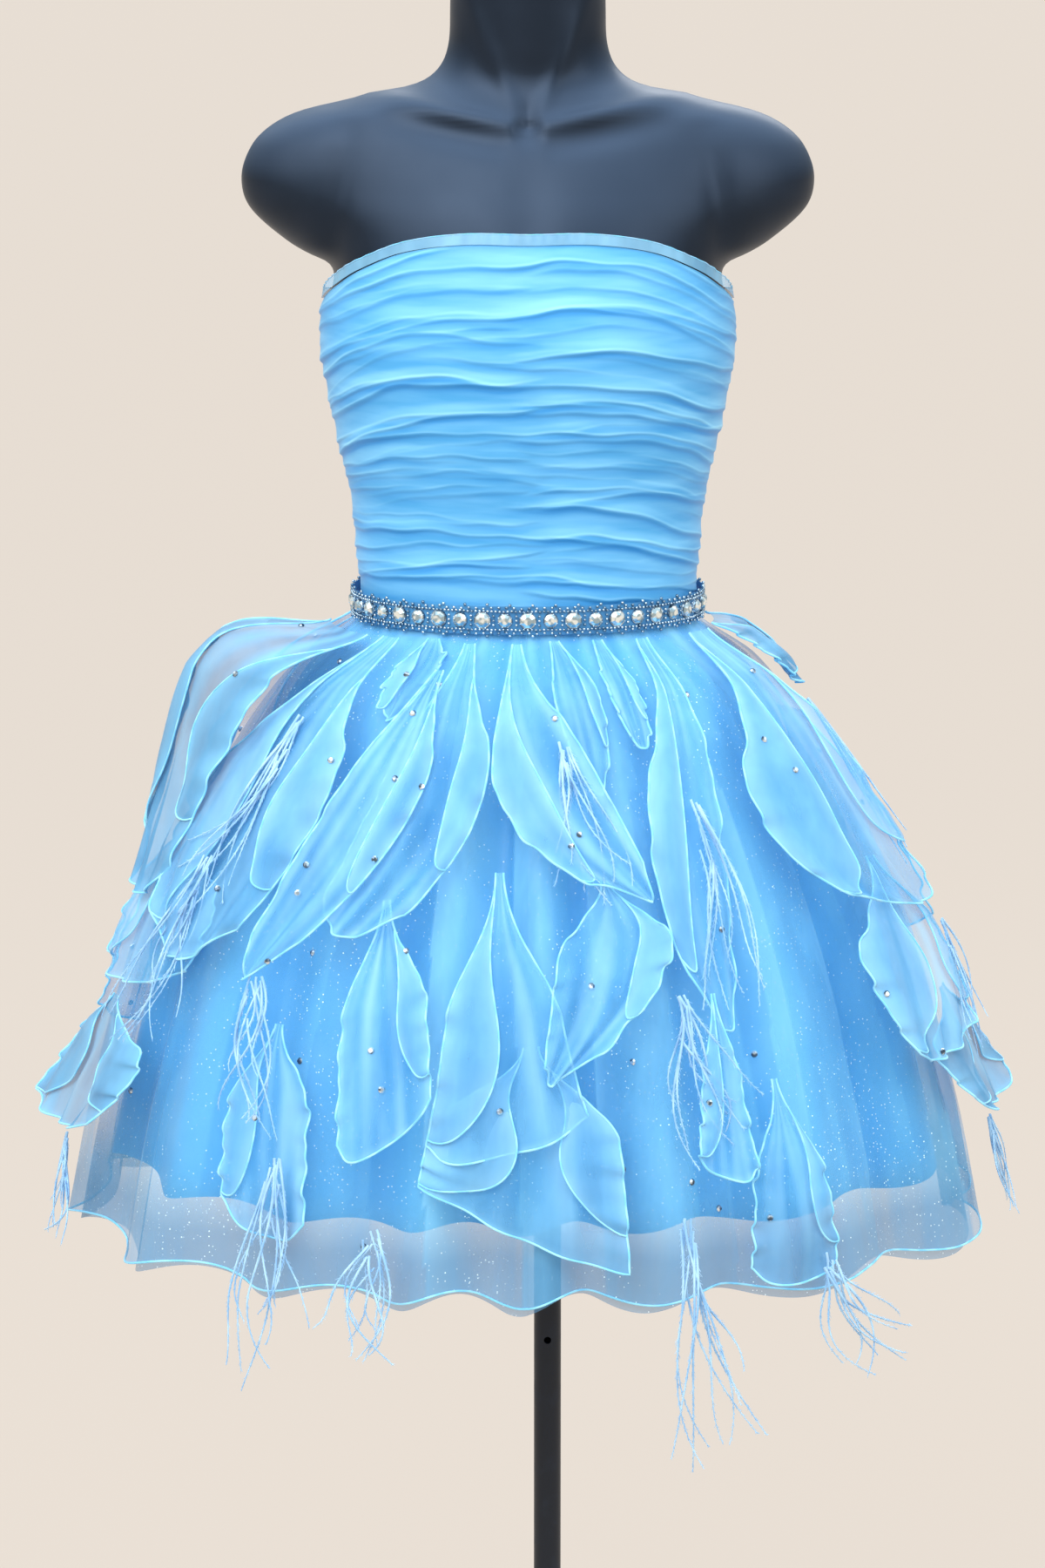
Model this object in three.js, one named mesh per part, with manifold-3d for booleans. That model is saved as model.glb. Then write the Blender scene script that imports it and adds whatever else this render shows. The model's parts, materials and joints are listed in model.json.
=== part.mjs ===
// A strapless mini dress in organza, worn by a limbless display form on a floor stand.
//
// Millimetres, +Z up, front towards -Y. The origin is the middle of the base plate's underside.
// The dress and the form are built in a frame of their own, with its origin in the middle of the
// waist. There, an angle of 0 is the centre front and +90 is +X, and a drop is measured downwards
// from the waist seam.
//
// Cut pieces of the dress: a ruched bodice front, two ruched bodice backs that meet at the centre
// back, a neck binding, a jewelled belt, three skirt layers (satin lining, glitter tulle, organza)
// and organza ruffles that are sewn to the outer layer at their tops, with feather tufts under them.

import * as THREE from "three";
import { mergeVertices } from "three/addons/utils/BufferGeometryUtils.js";
import Module from "manifold-3d";

const wasm = await Module();
wasm.setup();

// ---------- driving dimensions ----------

const WAIST_HEIGHT = 1000;
const FORM_BESIDE_POLE = -14;

const PIECE_GAP = 0.3;
const CLOTH = 1.2;
const FORM_COLUMNS = 24;

// Stand
const BASE_RADIUS = 165;
const BASE_THICKNESS = 8;
const BASE_EDGE = 2.5;
const POLE_RADIUS = 9.5;
const POLE_WALL = 1.5;
const PIN_HOLE = { radius: 2, height: 473, sides: 12 };
const SOCKET = { radius: 27, neck: 14, flange: 5, shoulder: 3, length: 34 };
const ROUND = 24;

// Bodice
const BODICE_BOTTOM = 1;
const BODICE_EASE = 2.1;
const BODICE_CLOTH = 1.6;
const BODICE_SEAM_DEGREES = 0.08;
const PLEATS = 20;
const PLEAT = { height: 3, unevenness: 0.2, fineUnevenness: 0.14, wander: 0.9 };
const BINDING = { height: 7, ease: 4.6, thickness: 2.2 };

// Jewelled belt
const BELT = { bottom: -10, height: 19, ease: 7.8, thickness: 1.4 };
const STONES = { count: 44, height: 2.4, settingHeight: 0.7 };

// Skirt
const SKIRT_TOP = -0.6;
const ORGANZA_HEM = 424;
const TULLE_HEM = 430;
const SATIN_HEM = 384;
const FOLDS = 16;
const FOLD = { drift: 0.9, fineDrift: 0.7, unevenness: 0.16, hemLag: 0.1 };
const TULLE_INSIDE = { waist: 1.5, hem: 9 };
const SATIN_INSIDE = { waist: 3, hem: 20 };
const LAYERS_PART_BY = 120;
const LEVELS = [250, 110, 45, 13, SKIRT_TOP];

// Ruffles and feathers
const RUFFLE_CLEARANCE = 4;
const RUFFLE_STEP = 4;
const PUFF = { fall: 1.6, start: 0.3, rise: 0.35 };
const FLARE = { curve: 1.8, middle: 0.35 };

// A ruffle is drawn in at its top to this share of its width, as far down as this share of its length,
// and its lower corners are rounded off by this share of its length.
const DRAWN_IN = { share: 0.5, length: 0.42 };
const ROUNDING = 0.16;
const RUFFLE_ROWS = 6;
const RUFFLE_COLUMNS = 3;
const FEATHER_CLEARANCE = 25;
const STRAND = { root: 1.3, tip: 0.5, sides: 3, steps: 3 };
const TUFT = { knot: 5, spread: 2.6, waver: 0.6, shortening: 0.13, settle: 0.25, splay: 1.5 };

// ---------- tables ----------

// The display form's level sections. rise is measured upwards from the waist, side, front and back
// are the reach from the middle, and arm is how much further the capped upper arm reaches.
const FIGURE = [
  { rise: -190, side: 136, front: 76, back: 90, arm: 0 },
  { rise: -180, side: 150, front: 88, back: 103, arm: 0 },
  { rise: -125, side: 157, front: 95, back: 111, arm: 0 },
  { rise: -60, side: 133, front: 91, back: 97, arm: 0 },
  { rise: -20, side: 112, front: 83, back: 81, arm: 0 },
  { rise: 0, side: 110, front: 82, back: 79, arm: 0 },
  { rise: 30, side: 112, front: 84, back: 80, arm: 0 },
  { rise: 76, side: 117, front: 92, back: 84, arm: 0 },
  { rise: 124, side: 127.5, front: 103, back: 88, arm: 0 },
  { rise: 171, side: 136, front: 112, back: 91, arm: 0 },
  { rise: 195, side: 136, front: 112, back: 92, arm: 0 },
  { rise: 226, side: 134, front: 106.5, back: 92, arm: 0 },
  { rise: 244, side: 135, front: 101.5, back: 91, arm: 27 },
  { rise: 266, side: 138, front: 93, back: 88, arm: 49 },
  { rise: 284, side: 138, front: 84, back: 84, arm: 55 },
  { rise: 302, side: 136, front: 74, back: 79, arm: 53 },
  { rise: 318, side: 130, front: 64, back: 73, arm: 47 },
  { rise: 331, side: 118, front: 56, back: 66, arm: 35 },
  { rise: 340, side: 98, front: 50, back: 60, arm: 15 },
  { rise: 348, side: 74, front: 46, back: 55, arm: 3 },
  { rise: 358, side: 61, front: 44, back: 52, arm: 0 },
  { rise: 374, side: 53.5, front: 45, back: 50, arm: 0 },
  { rise: 400, side: 52, front: 46, back: 48, arm: 0 },
  { rise: 424, side: 51.5, front: 46, back: 47, arm: 0 },
  { rise: 428, side: 48.5, front: 43, back: 44, arm: 0 },
];
const SECTION_POWER = 2.15;
const ARM_POWER = 18;

// How far the bodice's top edge stands above the waist, round one side. It is the same on the other.
const NECKLINE = [
  { angle: 0, rise: 250 },
  { angle: 24, rise: 250 },
  { angle: 43, rise: 244 },
  { angle: 58, rise: 231 },
  { angle: 72, rise: 217 },
  { angle: 90, rise: 205 },
  { angle: 130, rise: 198 },
  { angle: 180, rise: 196 },
];

// The organza layer's outside without its folds, and how deep its folds and gathers are there.
const SKIRT = [
  { drop: -1, side: 115.4, front: 87.4, back: 84.4, fold: 0, gather: 0.2 },
  { drop: 13, side: 117, front: 89, back: 86, fold: 0, gather: 0.5 },
  { drop: 45, side: 158, front: 125, back: 120, fold: 3, gather: 2 },
  { drop: 110, side: 204, front: 158, back: 152, fold: 7, gather: 0 },
  { drop: 215, side: 256, front: 199, back: 192, fold: 11, gather: 0 },
  { drop: 330, side: 290, front: 228, back: 220, fold: 13, gather: 0 },
  { drop: 440, side: 312, front: 248, back: 240, fold: 14, gather: 0 },
];

// The ruffles. Each is a patch between a left and a right edge, seen from outside, and every place is
// an angle in degrees and a drop. Each edge runs from the top, through the middle, to the tip.
// layer sets how far out it lies, puff how far it stands off below its top, and flare at its tip.
const RUFFLES = [
  {
    name: "ruffle_left_hip", layer: 3, flare: 0, puff: 104,
    top: [[-88, 14], [-58, 14]], middle: [[-96, 80], [-66, 84]], tip: [[-83, 186], [-70, 194]],
  },
  {
    name: "ruffle_left_side", layer: 2, flare: 2, puff: 3,
    top: [[-56, 14], [-44, 14]], middle: [[-72, 118], [-42, 116]], tip: [[-64, 222], [-54, 218]],
  },
  {
    name: "ruffle_left_small", layer: 0, flare: 2, puff: 1,
    top: [[-41, 14], [-33, 14]], middle: [[-41, 34], [-29, 30]], tip: [[-37, 60], [-34, 61]],
  },
  {
    name: "ruffle_left_leaf", layer: 5, flare: 4, puff: 4,
    top: [[-27, 28], [-23, 28]], middle: [[-38, 108], [-22, 108]], tip: [[-45, 220], [-43, 222]],
  },
  {
    name: "ruffle_left_leaf_under", layer: 3, flare: 3, puff: 5,
    top: [[-24, 14], [-17, 14]], middle: [[-30, 98], [-9, 98]], tip: [[-36, 184], [-27, 196]],
  },
  {
    name: "ruffle_left_cone", layer: 2, flare: 5, puff: 2,
    top: [[-31, 172], [-20, 164]], middle: [[-29, 262], [-16, 236]], tip: [[-27, 341], [-14, 299]],
  },
  {
    name: "ruffle_left_hem", layer: 0, flare: 4, puff: 2,
    top: [[-46, 252], [-35, 252]], middle: [[-46, 318], [-33, 316]], tip: [[-44, 378], [-31, 394]],
  },
  {
    name: "ruffle_front_leaf", layer: 3, flare: 6, puff: 5,
    top: [[-7, 14], [-1, 14]], middle: [[-5, 108], [13, 80]], tip: [[20, 165], [23, 168]],
  },
  {
    name: "ruffle_front_small", layer: 0, flare: 2, puff: 1,
    top: [[7, 14], [14, 14]], middle: [[8, 54], [20, 46]], tip: [[14, 102], [17, 104]],
  },
  {
    name: "ruffle_front_fan", layer: 2, flare: 6, puff: 2,
    top: [[8, 148], [20, 160]], middle: [[4.5, 214], [23.5, 202]], tip: [[2, 281], [5, 277]],
  },
  {
    name: "ruffle_front_back_fan", layer: 1, flare: 2, puff: 1,
    top: [[-13, 150], [2, 150]], middle: [[-13.5, 256], [6, 250]], tip: [[-16, 338], [10, 311]],
  },
  {
    name: "ruffle_front_low", layer: 0, flare: 2, puff: 0,
    top: [[-12, 262], [13, 254]], middle: [[-15, 312], [14, 332]], tip: [[-16, 350], [14, 408]],
  },
  {
    name: "ruffle_right_small", layer: 0, flare: 2, puff: 1,
    top: [[24, 14], [31, 14]], middle: [[23, 44], [31, 42]], tip: [[26, 76], [29, 77]],
  },
  {
    name: "ruffle_right_leaf", layer: 1, flare: 2, puff: 4,
    top: [[39, 14], [47, 14]], middle: [[24.5, 128], [39, 122]], tip: [[30, 250], [33, 252]],
  },
  {
    name: "ruffle_right_cone", layer: 3, flare: 5, puff: 2,
    top: [[27, 226], [32, 226]], middle: [[25.5, 290], [31.5, 290]], tip: [[23.5, 334], [32.5, 350]],
  },
  {
    name: "ruffle_right_hem", layer: 0, flare: 4, puff: 2,
    top: [[35, 286], [42, 286]], middle: [[33, 360], [44, 360]], tip: [[31, 416], [43, 418]],
  },
  {
    name: "ruffle_right_side", layer: 2, flare: 10, puff: 10,
    top: [[56, 14], [76, 14]], middle: [[45.5, 120], [78, 110]], tip: [[62, 186], [82, 204]],
  },
  {
    name: "ruffle_right_hip", layer: 1, flare: 2, puff: 40,
    top: [[82, 14], [102, 14]], middle: [[84, 34], [110, 38]], tip: [[90, 60], [102, 64]],
  },
  {
    name: "ruffle_right_mid", layer: 1, flare: 12, puff: 3,
    top: [[58, 156], [82, 168]], middle: [[57, 232], [84, 240]], tip: [[62, 296], [76, 292]],
  },
  {
    name: "ruffle_right_low", layer: 0, flare: 30, puff: 1,
    top: [[68, 262], [92, 258]], middle: [[68, 302], [93, 304]], tip: [[73, 340], [88, 344]],
  },
  {
    name: "ruffle_left_mid", layer: 0, flare: 3, puff: 1,
    top: [[-86, 136], [-60, 140]], middle: [[-88, 200], [-58, 194]], tip: [[-86, 258], [-60, 240]],
  },
  {
    name: "ruffle_left_point", layer: 0, flare: 36, puff: 1,
    top: [[-90, 268], [-64, 258]], middle: [[-92, 312], [-62, 302]], tip: [[-87, 356], [-66, 344]],
  },
  {
    name: "ruffle_back_left_leaf", layer: 3, flare: 10, puff: 8,
    top: [[-126, 14], [-112, 14]], middle: [[-138, 96], [-106, 104]], tip: [[-130, 226], [-124, 228]],
  },
  {
    name: "ruffle_back_left_cone", layer: 1, flare: 8, puff: 4,
    top: [[-120, 180], [-104, 180]], middle: [[-124, 258], [-101, 262]], tip: [[-121, 340], [-104, 312]],
  },
  {
    name: "ruffle_back_leaf", layer: 3, flare: 8, puff: 6,
    top: [[-167, 14], [-156, 14]], middle: [[-180, 104], [-150, 96]], tip: [[-189, 222], [-185, 225]],
  },
  {
    name: "ruffle_back_cone", layer: 1, flare: 6, puff: 3,
    top: [[-170, 190], [-150, 180]], middle: [[-168, 270], [-149, 262]], tip: [[-166, 348], [-150, 310]],
  },
  {
    name: "ruffle_back_right_leaf", layer: 2, flare: 8, puff: 6,
    top: [[146, 14], [160, 14]], middle: [[134, 104], [162, 92]], tip: [[128, 214], [134, 217]],
  },
  {
    name: "ruffle_back_right_fan", layer: 0, flare: 6, puff: 3,
    top: [[137, 212], [155, 212]], middle: [[135, 286], [157, 282]], tip: [[138, 358], [154, 330]],
  },
  {
    name: "ruffle_back_side", layer: 2, flare: 13, puff: 6,
    top: [[108, 92], [122, 92]], middle: [[104, 176], [126, 176]], tip: [[109, 260], [121, 252]],
  },
];

// The feather tufts. lean is how far the strands drift round the skirt as they fall, in degrees.
const TUFTS = [
  { name: "feather_left_hip", angle: -54, drop: 58, strands: 5, length: 124, lean: -4, lift: 0 },
  { name: "feather_left_side", angle: -60, drop: 150, strands: 5, length: 120, lean: -3, lift: 0 },
  { name: "feather_left_leaf", angle: -42, drop: 216, strands: 5, length: 95, lean: 3, lift: 8 },
  { name: "feather_left_point", angle: -80, drop: 362, strands: 4, length: 62, lean: 4, lift: -10 },
  { name: "feather_left_hem", angle: -36, drop: 330, strands: 5, length: 150, lean: 0, lift: -4 },
  { name: "feather_front_left", angle: -22, drop: 372, strands: 4, length: 84, lean: 0, lift: -8 },
  { name: "feather_front", angle: 8, drop: 66, strands: 5, length: 96, lean: 5, lift: 2 },
  { name: "feather_front_right", angle: 22, drop: 352, strands: 5, length: 172, lean: 2, lift: -4 },
  { name: "feather_right_leaf", angle: 33, drop: 104, strands: 5, length: 130, lean: -1, lift: 0 },
  { name: "feather_right_cone", angle: 24, drop: 222, strands: 5, length: 104, lean: 3, lift: 2 },
  { name: "feather_right_hip", angle: 92, drop: 68, strands: 5, length: 110, lean: -3, lift: -12 },
  { name: "feather_right_side", angle: 80, drop: 212, strands: 5, length: 92, lean: 2, lift: 0 },
  { name: "feather_right_low", angle: 82, drop: 352, strands: 4, length: 70, lean: 2, lift: -8 },
  { name: "feather_right_hem", angle: 42, drop: 396, strands: 4, length: 84, lean: 6, lift: -8 },
  { name: "feather_back_left", angle: -118, drop: 214, strands: 5, length: 118, lean: -3, lift: 6 },
  { name: "feather_back", angle: -176, drop: 220, strands: 5, length: 110, lean: 3, lift: 2 },
  { name: "feather_back_right", angle: 142, drop: 344, strands: 5, length: 140, lean: 2, lift: -4 },
];

// ---------- materials ----------

const ORGANZA = { color: "#7cc7f4", roughness: 0.45, metalness: 0 };
const SATIN = { color: "#73c4f8", roughness: 0.4, metalness: 0 };
const TULLE = { color: "#8fc4dc", roughness: 0.5, metalness: 0 };
const FEATHER = { color: "#b3d3f5", roughness: 0.8, metalness: 0 };
const CRYSTAL = { color: "#c9d6d8", roughness: 0.15, metalness: 0.6 };
const FORM_PLASTIC = { color: "#1d232c", roughness: 0.38, metalness: 0 };
const STAND_STEEL = { color: "#20242c", roughness: 0.45, metalness: 0.3 };

// ---------- small helpers ----------

const radians = THREE.MathUtils.degToRad;
const mix = THREE.MathUtils.lerp;
const smooth = THREE.MathUtils.smoothstep;
const range = (count) => Array.from({ length: count }, (_, i) => i);

// A column of a table, read smoothly between rows that are sorted by key.
function readTable(table, key, column, at) {
  const last = table.length - 1;
  const held = THREE.MathUtils.clamp(at, table[0][key], table[last][key]);
  const row = table.slice(0, last).findLastIndex((entry) => entry[key] <= held);
  const slope = (n) => {
    const before = table[Math.max(0, n - 1)];
    const after = table[Math.min(last, n + 1)];
    return (after[column] - before[column]) / (after[key] - before[key]);
  };
  const span = table[row + 1][key] - table[row][key];
  const t = (held - table[row][key]) / span;
  return (
    (2 * t ** 3 - 3 * t ** 2 + 1) * table[row][column] +
    (t ** 3 - 2 * t ** 2 + t) * span * slope(row) +
    (-2 * t ** 3 + 3 * t ** 2) * table[row + 1][column] +
    (t ** 3 - t ** 2) * span * slope(row + 1)
  );
}

// The reach of a rounded oblong section in the direction of an angle in radians.
function reach(side, front, back, angle) {
  const across = Math.abs(Math.sin(angle)) / side;
  const deep = Math.abs(Math.cos(angle)) / (Math.cos(angle) > 0 ? front : back);
  return (across ** SECTION_POWER + deep ** SECTION_POWER) ** (-1 / SECTION_POWER);
}

function at(angle, radius, z) {
  return new THREE.Vector3(radius * Math.sin(angle), -radius * Math.cos(angle), z);
}

// ---------- closed solids from grids of points ----------

// Gathers triangles into one closed surface.
class Skin {
  constructor() {
    this.corners = [];
  }

  triangle(a, b, c) {
    this.corners.push(a, b, c);
  }

  // A grid of points as rows. wraps joins the last column to the first.
  grid(rows, wraps, facesOut) {
    const columns = rows[0].length;
    for (const r of range(rows.length - 1)) {
      for (const c of range(wraps ? columns : columns - 1)) {
        const d = (c + 1) % columns;
        const quad = [rows[r][c], rows[r][d], rows[r + 1][d], rows[r + 1][c]];
        if (!facesOut) quad.reverse();
        this.triangle(quad[0], quad[1], quad[2]);
        this.triangle(quad[0], quad[2], quad[3]);
      }
    }
  }

  // A strip between two edges whose counts of points may differ.
  strip(near, far) {
    let i = 0;
    let j = 0;
    while (i < near.length - 1 || j < far.length - 1) {
      const nearNext = (i + 1) / (near.length - 1);
      const farNext = (j + 1) / (far.length - 1);
      if (j === far.length - 1 || (i < near.length - 1 && nearNext <= farNext)) {
        this.triangle(near[i], near[i + 1], far[j]);
        i += 1;
      } else {
        this.triangle(near[i], far[j + 1], far[j]);
        j += 1;
      }
    }
  }

  fan(ring, middle, facesOut) {
    ring.forEach((point, i) => {
      const next = ring[(i + 1) % ring.length];
      if (facesOut) this.triangle(middle, point, next);
      else this.triangle(middle, next, point);
    });
  }

  geometry() {
    const made = new THREE.BufferGeometry().setFromPoints(this.corners);
    return mergeVertices(made, 1e-3);
  }
}

const closedLoop = (points) => [...points, points[0]];

// A tube of cloth, open at both ends. Rows run upwards, and the two faces may have different grids.
function tubeWall(outside, inside) {
  const skin = new Skin();
  skin.grid(outside, true, true);
  skin.grid(inside, true, false);
  skin.strip(closedLoop(inside[0]), closedLoop(outside[0]));
  skin.strip(closedLoop(outside.at(-1)), closedLoop(inside.at(-1)));
  return skin.geometry();
}

// A piece of cloth with four edges. The two faces may have different grids.
function patchWall(outside, inside) {
  const skin = new Skin();
  skin.grid(outside, false, true);
  skin.grid(inside, false, false);
  const left = (rows) => rows.map((row) => row[0]);
  const right = (rows) => rows.map((row) => row.at(-1));
  skin.strip(inside[0], outside[0]);
  skin.strip(outside.at(-1), inside.at(-1));
  skin.strip(right(inside), right(outside));
  skin.strip(left(outside), left(inside));
  return skin.geometry();
}

// A solid through level or tilted rings, closed at each end by a fan.
function loft(rings) {
  const skin = new Skin();
  const middleOf = (ring) =>
    ring.reduce((sum, p) => sum.add(p), new THREE.Vector3()).divideScalar(ring.length);
  skin.grid(rings, true, true);
  skin.fan(rings[0], middleOf(rings[0]), false);
  skin.fan(rings.at(-1), middleOf(rings.at(-1)), true);
  return skin.geometry();
}

function toManifold(geometry) {
  const bare = geometry.index ? geometry.clone() : mergeVertices(geometry);
  bare.deleteAttribute("normal");
  bare.deleteAttribute("uv");
  const merged = mergeVertices(bare, 1e-3);
  return new wasm.Manifold(
    new wasm.Mesh({
      numProp: 3,
      vertProperties: new Float32Array(merged.attributes.position.array),
      triVerts: new Uint32Array(merged.index.array),
    }),
  );
}

function fromManifold(solid) {
  const mesh = solid.getMesh();
  const made = new THREE.BufferGeometry();
  made.setAttribute("position", new THREE.BufferAttribute(mesh.vertProperties, 3));
  made.setIndex(new THREE.BufferAttribute(mesh.triVerts, 1));
  return made;
}

function named(name, geometry, look) {
  const mesh = new THREE.Mesh(geometry, new THREE.MeshStandardMaterial(look));
  mesh.name = name;
  return mesh;
}

// ---------- display form and stand ----------

function figureReach(rise, angle) {
  const column = (name) => readTable(FIGURE, "rise", name, rise);
  const arm = column("arm") * Math.abs(Math.sin(angle)) ** ARM_POWER;
  return reach(column("side"), column("front"), column("back"), angle) + arm;
}

function formTorso() {
  const rings = FIGURE.map(({ rise }) =>
    range(FORM_COLUMNS).map((i) => {
      const angle = (2 * Math.PI * i) / FORM_COLUMNS;
      return at(angle, figureReach(rise, angle), rise);
    }),
  );
  return named("form_torso", loft(rings), FORM_PLASTIC);
}

// A turned piece from a closed half outline, given as pairs of radius and height.
function turned(outline) {
  const points = outline.map(([radius, height]) => new THREE.Vector2(radius, height));
  return new THREE.LatheGeometry(points, ROUND).rotateX(Math.PI / 2);
}

function basePlate() {
  const outline = [
    [0, 0],
    [BASE_RADIUS, 0],
    [BASE_RADIUS, BASE_THICKNESS - BASE_EDGE],
    [BASE_RADIUS - BASE_EDGE, BASE_THICKNESS],
    [0, BASE_THICKNESS],
  ];
  return named("stand_base", turned(outline), STAND_STEEL);
}

function socket() {
  const bottom = -SOCKET.length;
  const bore = POLE_RADIUS + PIECE_GAP;
  const top = -PIECE_GAP;
  const under = top - SOCKET.flange;
  const outline = [
    [0, under],
    [bore, under],
    [bore, bottom],
    [SOCKET.neck, bottom],
    [SOCKET.neck, under - SOCKET.shoulder],
    [SOCKET.radius, under],
    [SOCKET.radius, top],
    [0, top],
  ];
  return named("stand_socket", turned(outline), STAND_STEEL);
}

function pole() {
  const bottom = BASE_THICKNESS + PIECE_GAP;
  const top = WAIST_HEIGHT + FIGURE[0].rise - SOCKET.flange - 2 * PIECE_GAP;
  const outline = [
    [POLE_RADIUS, bottom],
    [POLE_RADIUS, top],
    [POLE_RADIUS - POLE_WALL, top],
    [POLE_RADIUS - POLE_WALL, bottom],
    [POLE_RADIUS, bottom],
  ];
  const tube = toManifold(turned(outline));
  const { radius, height, sides } = PIN_HOLE;
  const drill = new THREE.CylinderGeometry(radius, radius, 2 * POLE_RADIUS, sides);
  drill.translate(0, -POLE_RADIUS, height);
  return named("stand_pole", fromManifold(tube.subtract(toManifold(drill))), STAND_STEEL);
}

// ---------- bodice, binding and belt ----------

function necklineRise(angle) {
  const turn = Math.abs(THREE.MathUtils.radToDeg(Math.atan2(Math.sin(angle), Math.cos(angle))));
  return readTable(NECKLINE, "angle", "rise", turn);
}

// The height of a place on the bodice. share is 0 at the waist and 1 at the top edge.
const bodiceRise = (angle, share) => mix(BODICE_BOTTOM, necklineRise(angle), share);

// How far a pleat's crest stands out, as uneven as gathered cloth is.
function pleatHeight(angle, row) {
  const { height, unevenness, fineUnevenness } = PLEAT;
  const coarse = unevenness * (Math.sin(3 * angle + 1.7 * row) - 1);
  const fine = fineUnevenness * (Math.sin(5 * angle - row) - 1);
  return height * (1 + coarse + fine);
}

// How far a pleat's line wanders up or down, in rows.
const pleatWander = (angle, row) =>
  PLEAT.wander * Math.sin(2.3 * angle + 0.37 * row) * Math.cos(angle - 0.21 * row);

function bodicePanel(name, fromAngle, toAngle, columns) {
  const rows = 2 * PLEATS;
  const innerRows = PLEATS / 2;
  const inner = BODICE_EASE;
  const angleAt = (c) => mix(fromAngle, toAngle, c / columns);
  const inside = range(innerRows + 1).map((r) =>
    range(columns + 1).map((c) => {
      const rise = bodiceRise(angleAt(c), r / innerRows);
      return at(angleAt(c), figureReach(rise, angleAt(c)) + inner, rise);
    }),
  );
  const outside = range(rows + 1).map((r) =>
    range(columns + 1).map((c) => {
      const angle = angleAt(c);
      const isEdge = r === 0 || r === rows;
      const row = isEdge ? r : r + pleatWander(angle, r);
      const rise = bodiceRise(angle, THREE.MathUtils.clamp(row / rows, 0, 1));
      const crest = r % 2 === 1 ? pleatHeight(angle, r) : 0;
      return at(angle, figureReach(rise, angle) + inner + BODICE_CLOTH + crest, rise);
    }),
  );
  return named(name, patchWall(outside, inside), ORGANZA);
}

function bodice() {
  const seam = radians(BODICE_SEAM_DEGREES);
  const half = FORM_COLUMNS / 2;
  const side = Math.PI / 2;
  return [
    bodicePanel("bodice_front", -side + seam, side - seam, half),
    bodicePanel("bodice_back_right", side + seam, Math.PI - seam, half / 2),
    bodicePanel("bodice_back_left", -Math.PI + seam, -side - seam, half / 2),
  ];
}

function neckBinding() {
  const ring = (radial, above) =>
    range(FORM_COLUMNS).map((i) => {
      const angle = (2 * Math.PI * i) / FORM_COLUMNS;
      const rise = necklineRise(angle) + PIECE_GAP + above;
      return at(angle, figureReach(rise, angle) + BINDING.ease + radial, rise);
    });
  const outside = [ring(BINDING.thickness, 0), ring(BINDING.thickness, BINDING.height)];
  const inside = [ring(0, 0), ring(0, BINDING.height)];
  return named("neck_binding", tubeWall(outside, inside), ORGANZA);
}

// The belt's outside rises to a stone between each pair of settings.
function jewelledBelt() {
  const columns = 2 * STONES.count;
  const ring = (count, above, outwards) =>
    range(count).map((i) => {
      const angle = (2 * Math.PI * i) / count;
      return at(angle, figureReach(0, angle) + BELT.ease + outwards(i), above);
    });
  const edge = () => BELT.thickness;
  const stone = (i) => BELT.thickness + (i % 2 === 0 ? STONES.height : STONES.settingHeight);
  const { bottom, height } = BELT;
  const top = bottom + height;
  const outside = [
    ring(columns, bottom, edge),
    ring(columns, bottom + height / 2, stone),
    ring(columns, top, edge),
  ];
  const inside = [bottom, top].map((above) => ring(STONES.count, above, () => 0));
  return named("jewelled_belt", tubeWall(outside, inside), CRYSTAL);
}

// ---------- skirt layers ----------

function skirtReach(drop, angle) {
  const column = (name) => readTable(SKIRT, "drop", name, drop);
  return reach(column("side"), column("front"), column("back"), angle);
}

const foldDepth = (drop) => readTable(SKIRT, "drop", "fold", drop);
const gatherHeight = (drop) => readTable(SKIRT, "drop", "gather", drop);

// The folds' wave, from -1 to 1, unevenly spaced round the skirt.
function foldWave(angle) {
  const drift = FOLD.drift * Math.sin(2 * angle + 0.7) + FOLD.fineDrift * Math.sin(3 * angle);
  const depth = 1 + FOLD.unevenness * (Math.sin(5 * angle + 1) - 1);
  return depth * Math.sin(FOLDS * angle + drift);
}

function skirtLayer({ name, look, hem, hemWave, columns, inside, foldShare, gathers }) {
  const point = (i, level, inwards) => {
    const angle = (2 * Math.PI * i) / columns;
    const longest = hem + hemWave * foldWave(angle + FOLD.hemLag);
    const drop = level === hem ? longest : level;
    const parted = smooth(drop, 0, LAYERS_PART_BY);
    const gather = gathers ? (i % 2) * gatherHeight(drop) : 0;
    const fold = foldShare * foldDepth(drop) * foldWave(angle);
    const back = mix(inside.waist, inside.hem, parted) + inwards;
    return at(angle, skirtReach(drop, angle) + fold + gather - back, -drop);
  };
  const face = (inwards) =>
    [hem, ...LEVELS].map((level) => range(columns).map((i) => point(i, level, inwards)));
  return named(name, tubeWall(face(0), face(CLOTH)), look);
}

function skirt() {
  return [
    skirtLayer({
      name: "skirt_organza", look: ORGANZA, hem: ORGANZA_HEM, hemWave: 6,
      columns: 5 * FOLDS,
      inside: { waist: 0, hem: 0 }, foldShare: 1, gathers: true,
    }),
    skirtLayer({
      name: "skirt_tulle", look: TULLE, hem: TULLE_HEM, hemWave: 8,
      columns: 4 * FOLDS,
      inside: TULLE_INSIDE, foldShare: 0.9, gathers: false,
    }),
    skirtLayer({
      name: "skirt_satin", look: SATIN, hem: SATIN_HEM, hemWave: 5,
      columns: 4 * FOLDS,
      inside: SATIN_INSIDE, foldShare: 0.7, gathers: false,
    }),
  ];
}

// ---------- ruffles ----------

// The surface that hangs over the organza's crests, lifted by so many millimetres.
function overSkirt(angle, drop, lift) {
  const held = Math.min(drop, ORGANZA_HEM);
  return at(angle, skirtReach(held, angle) + foldDepth(held) + lift, -drop);
}

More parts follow.
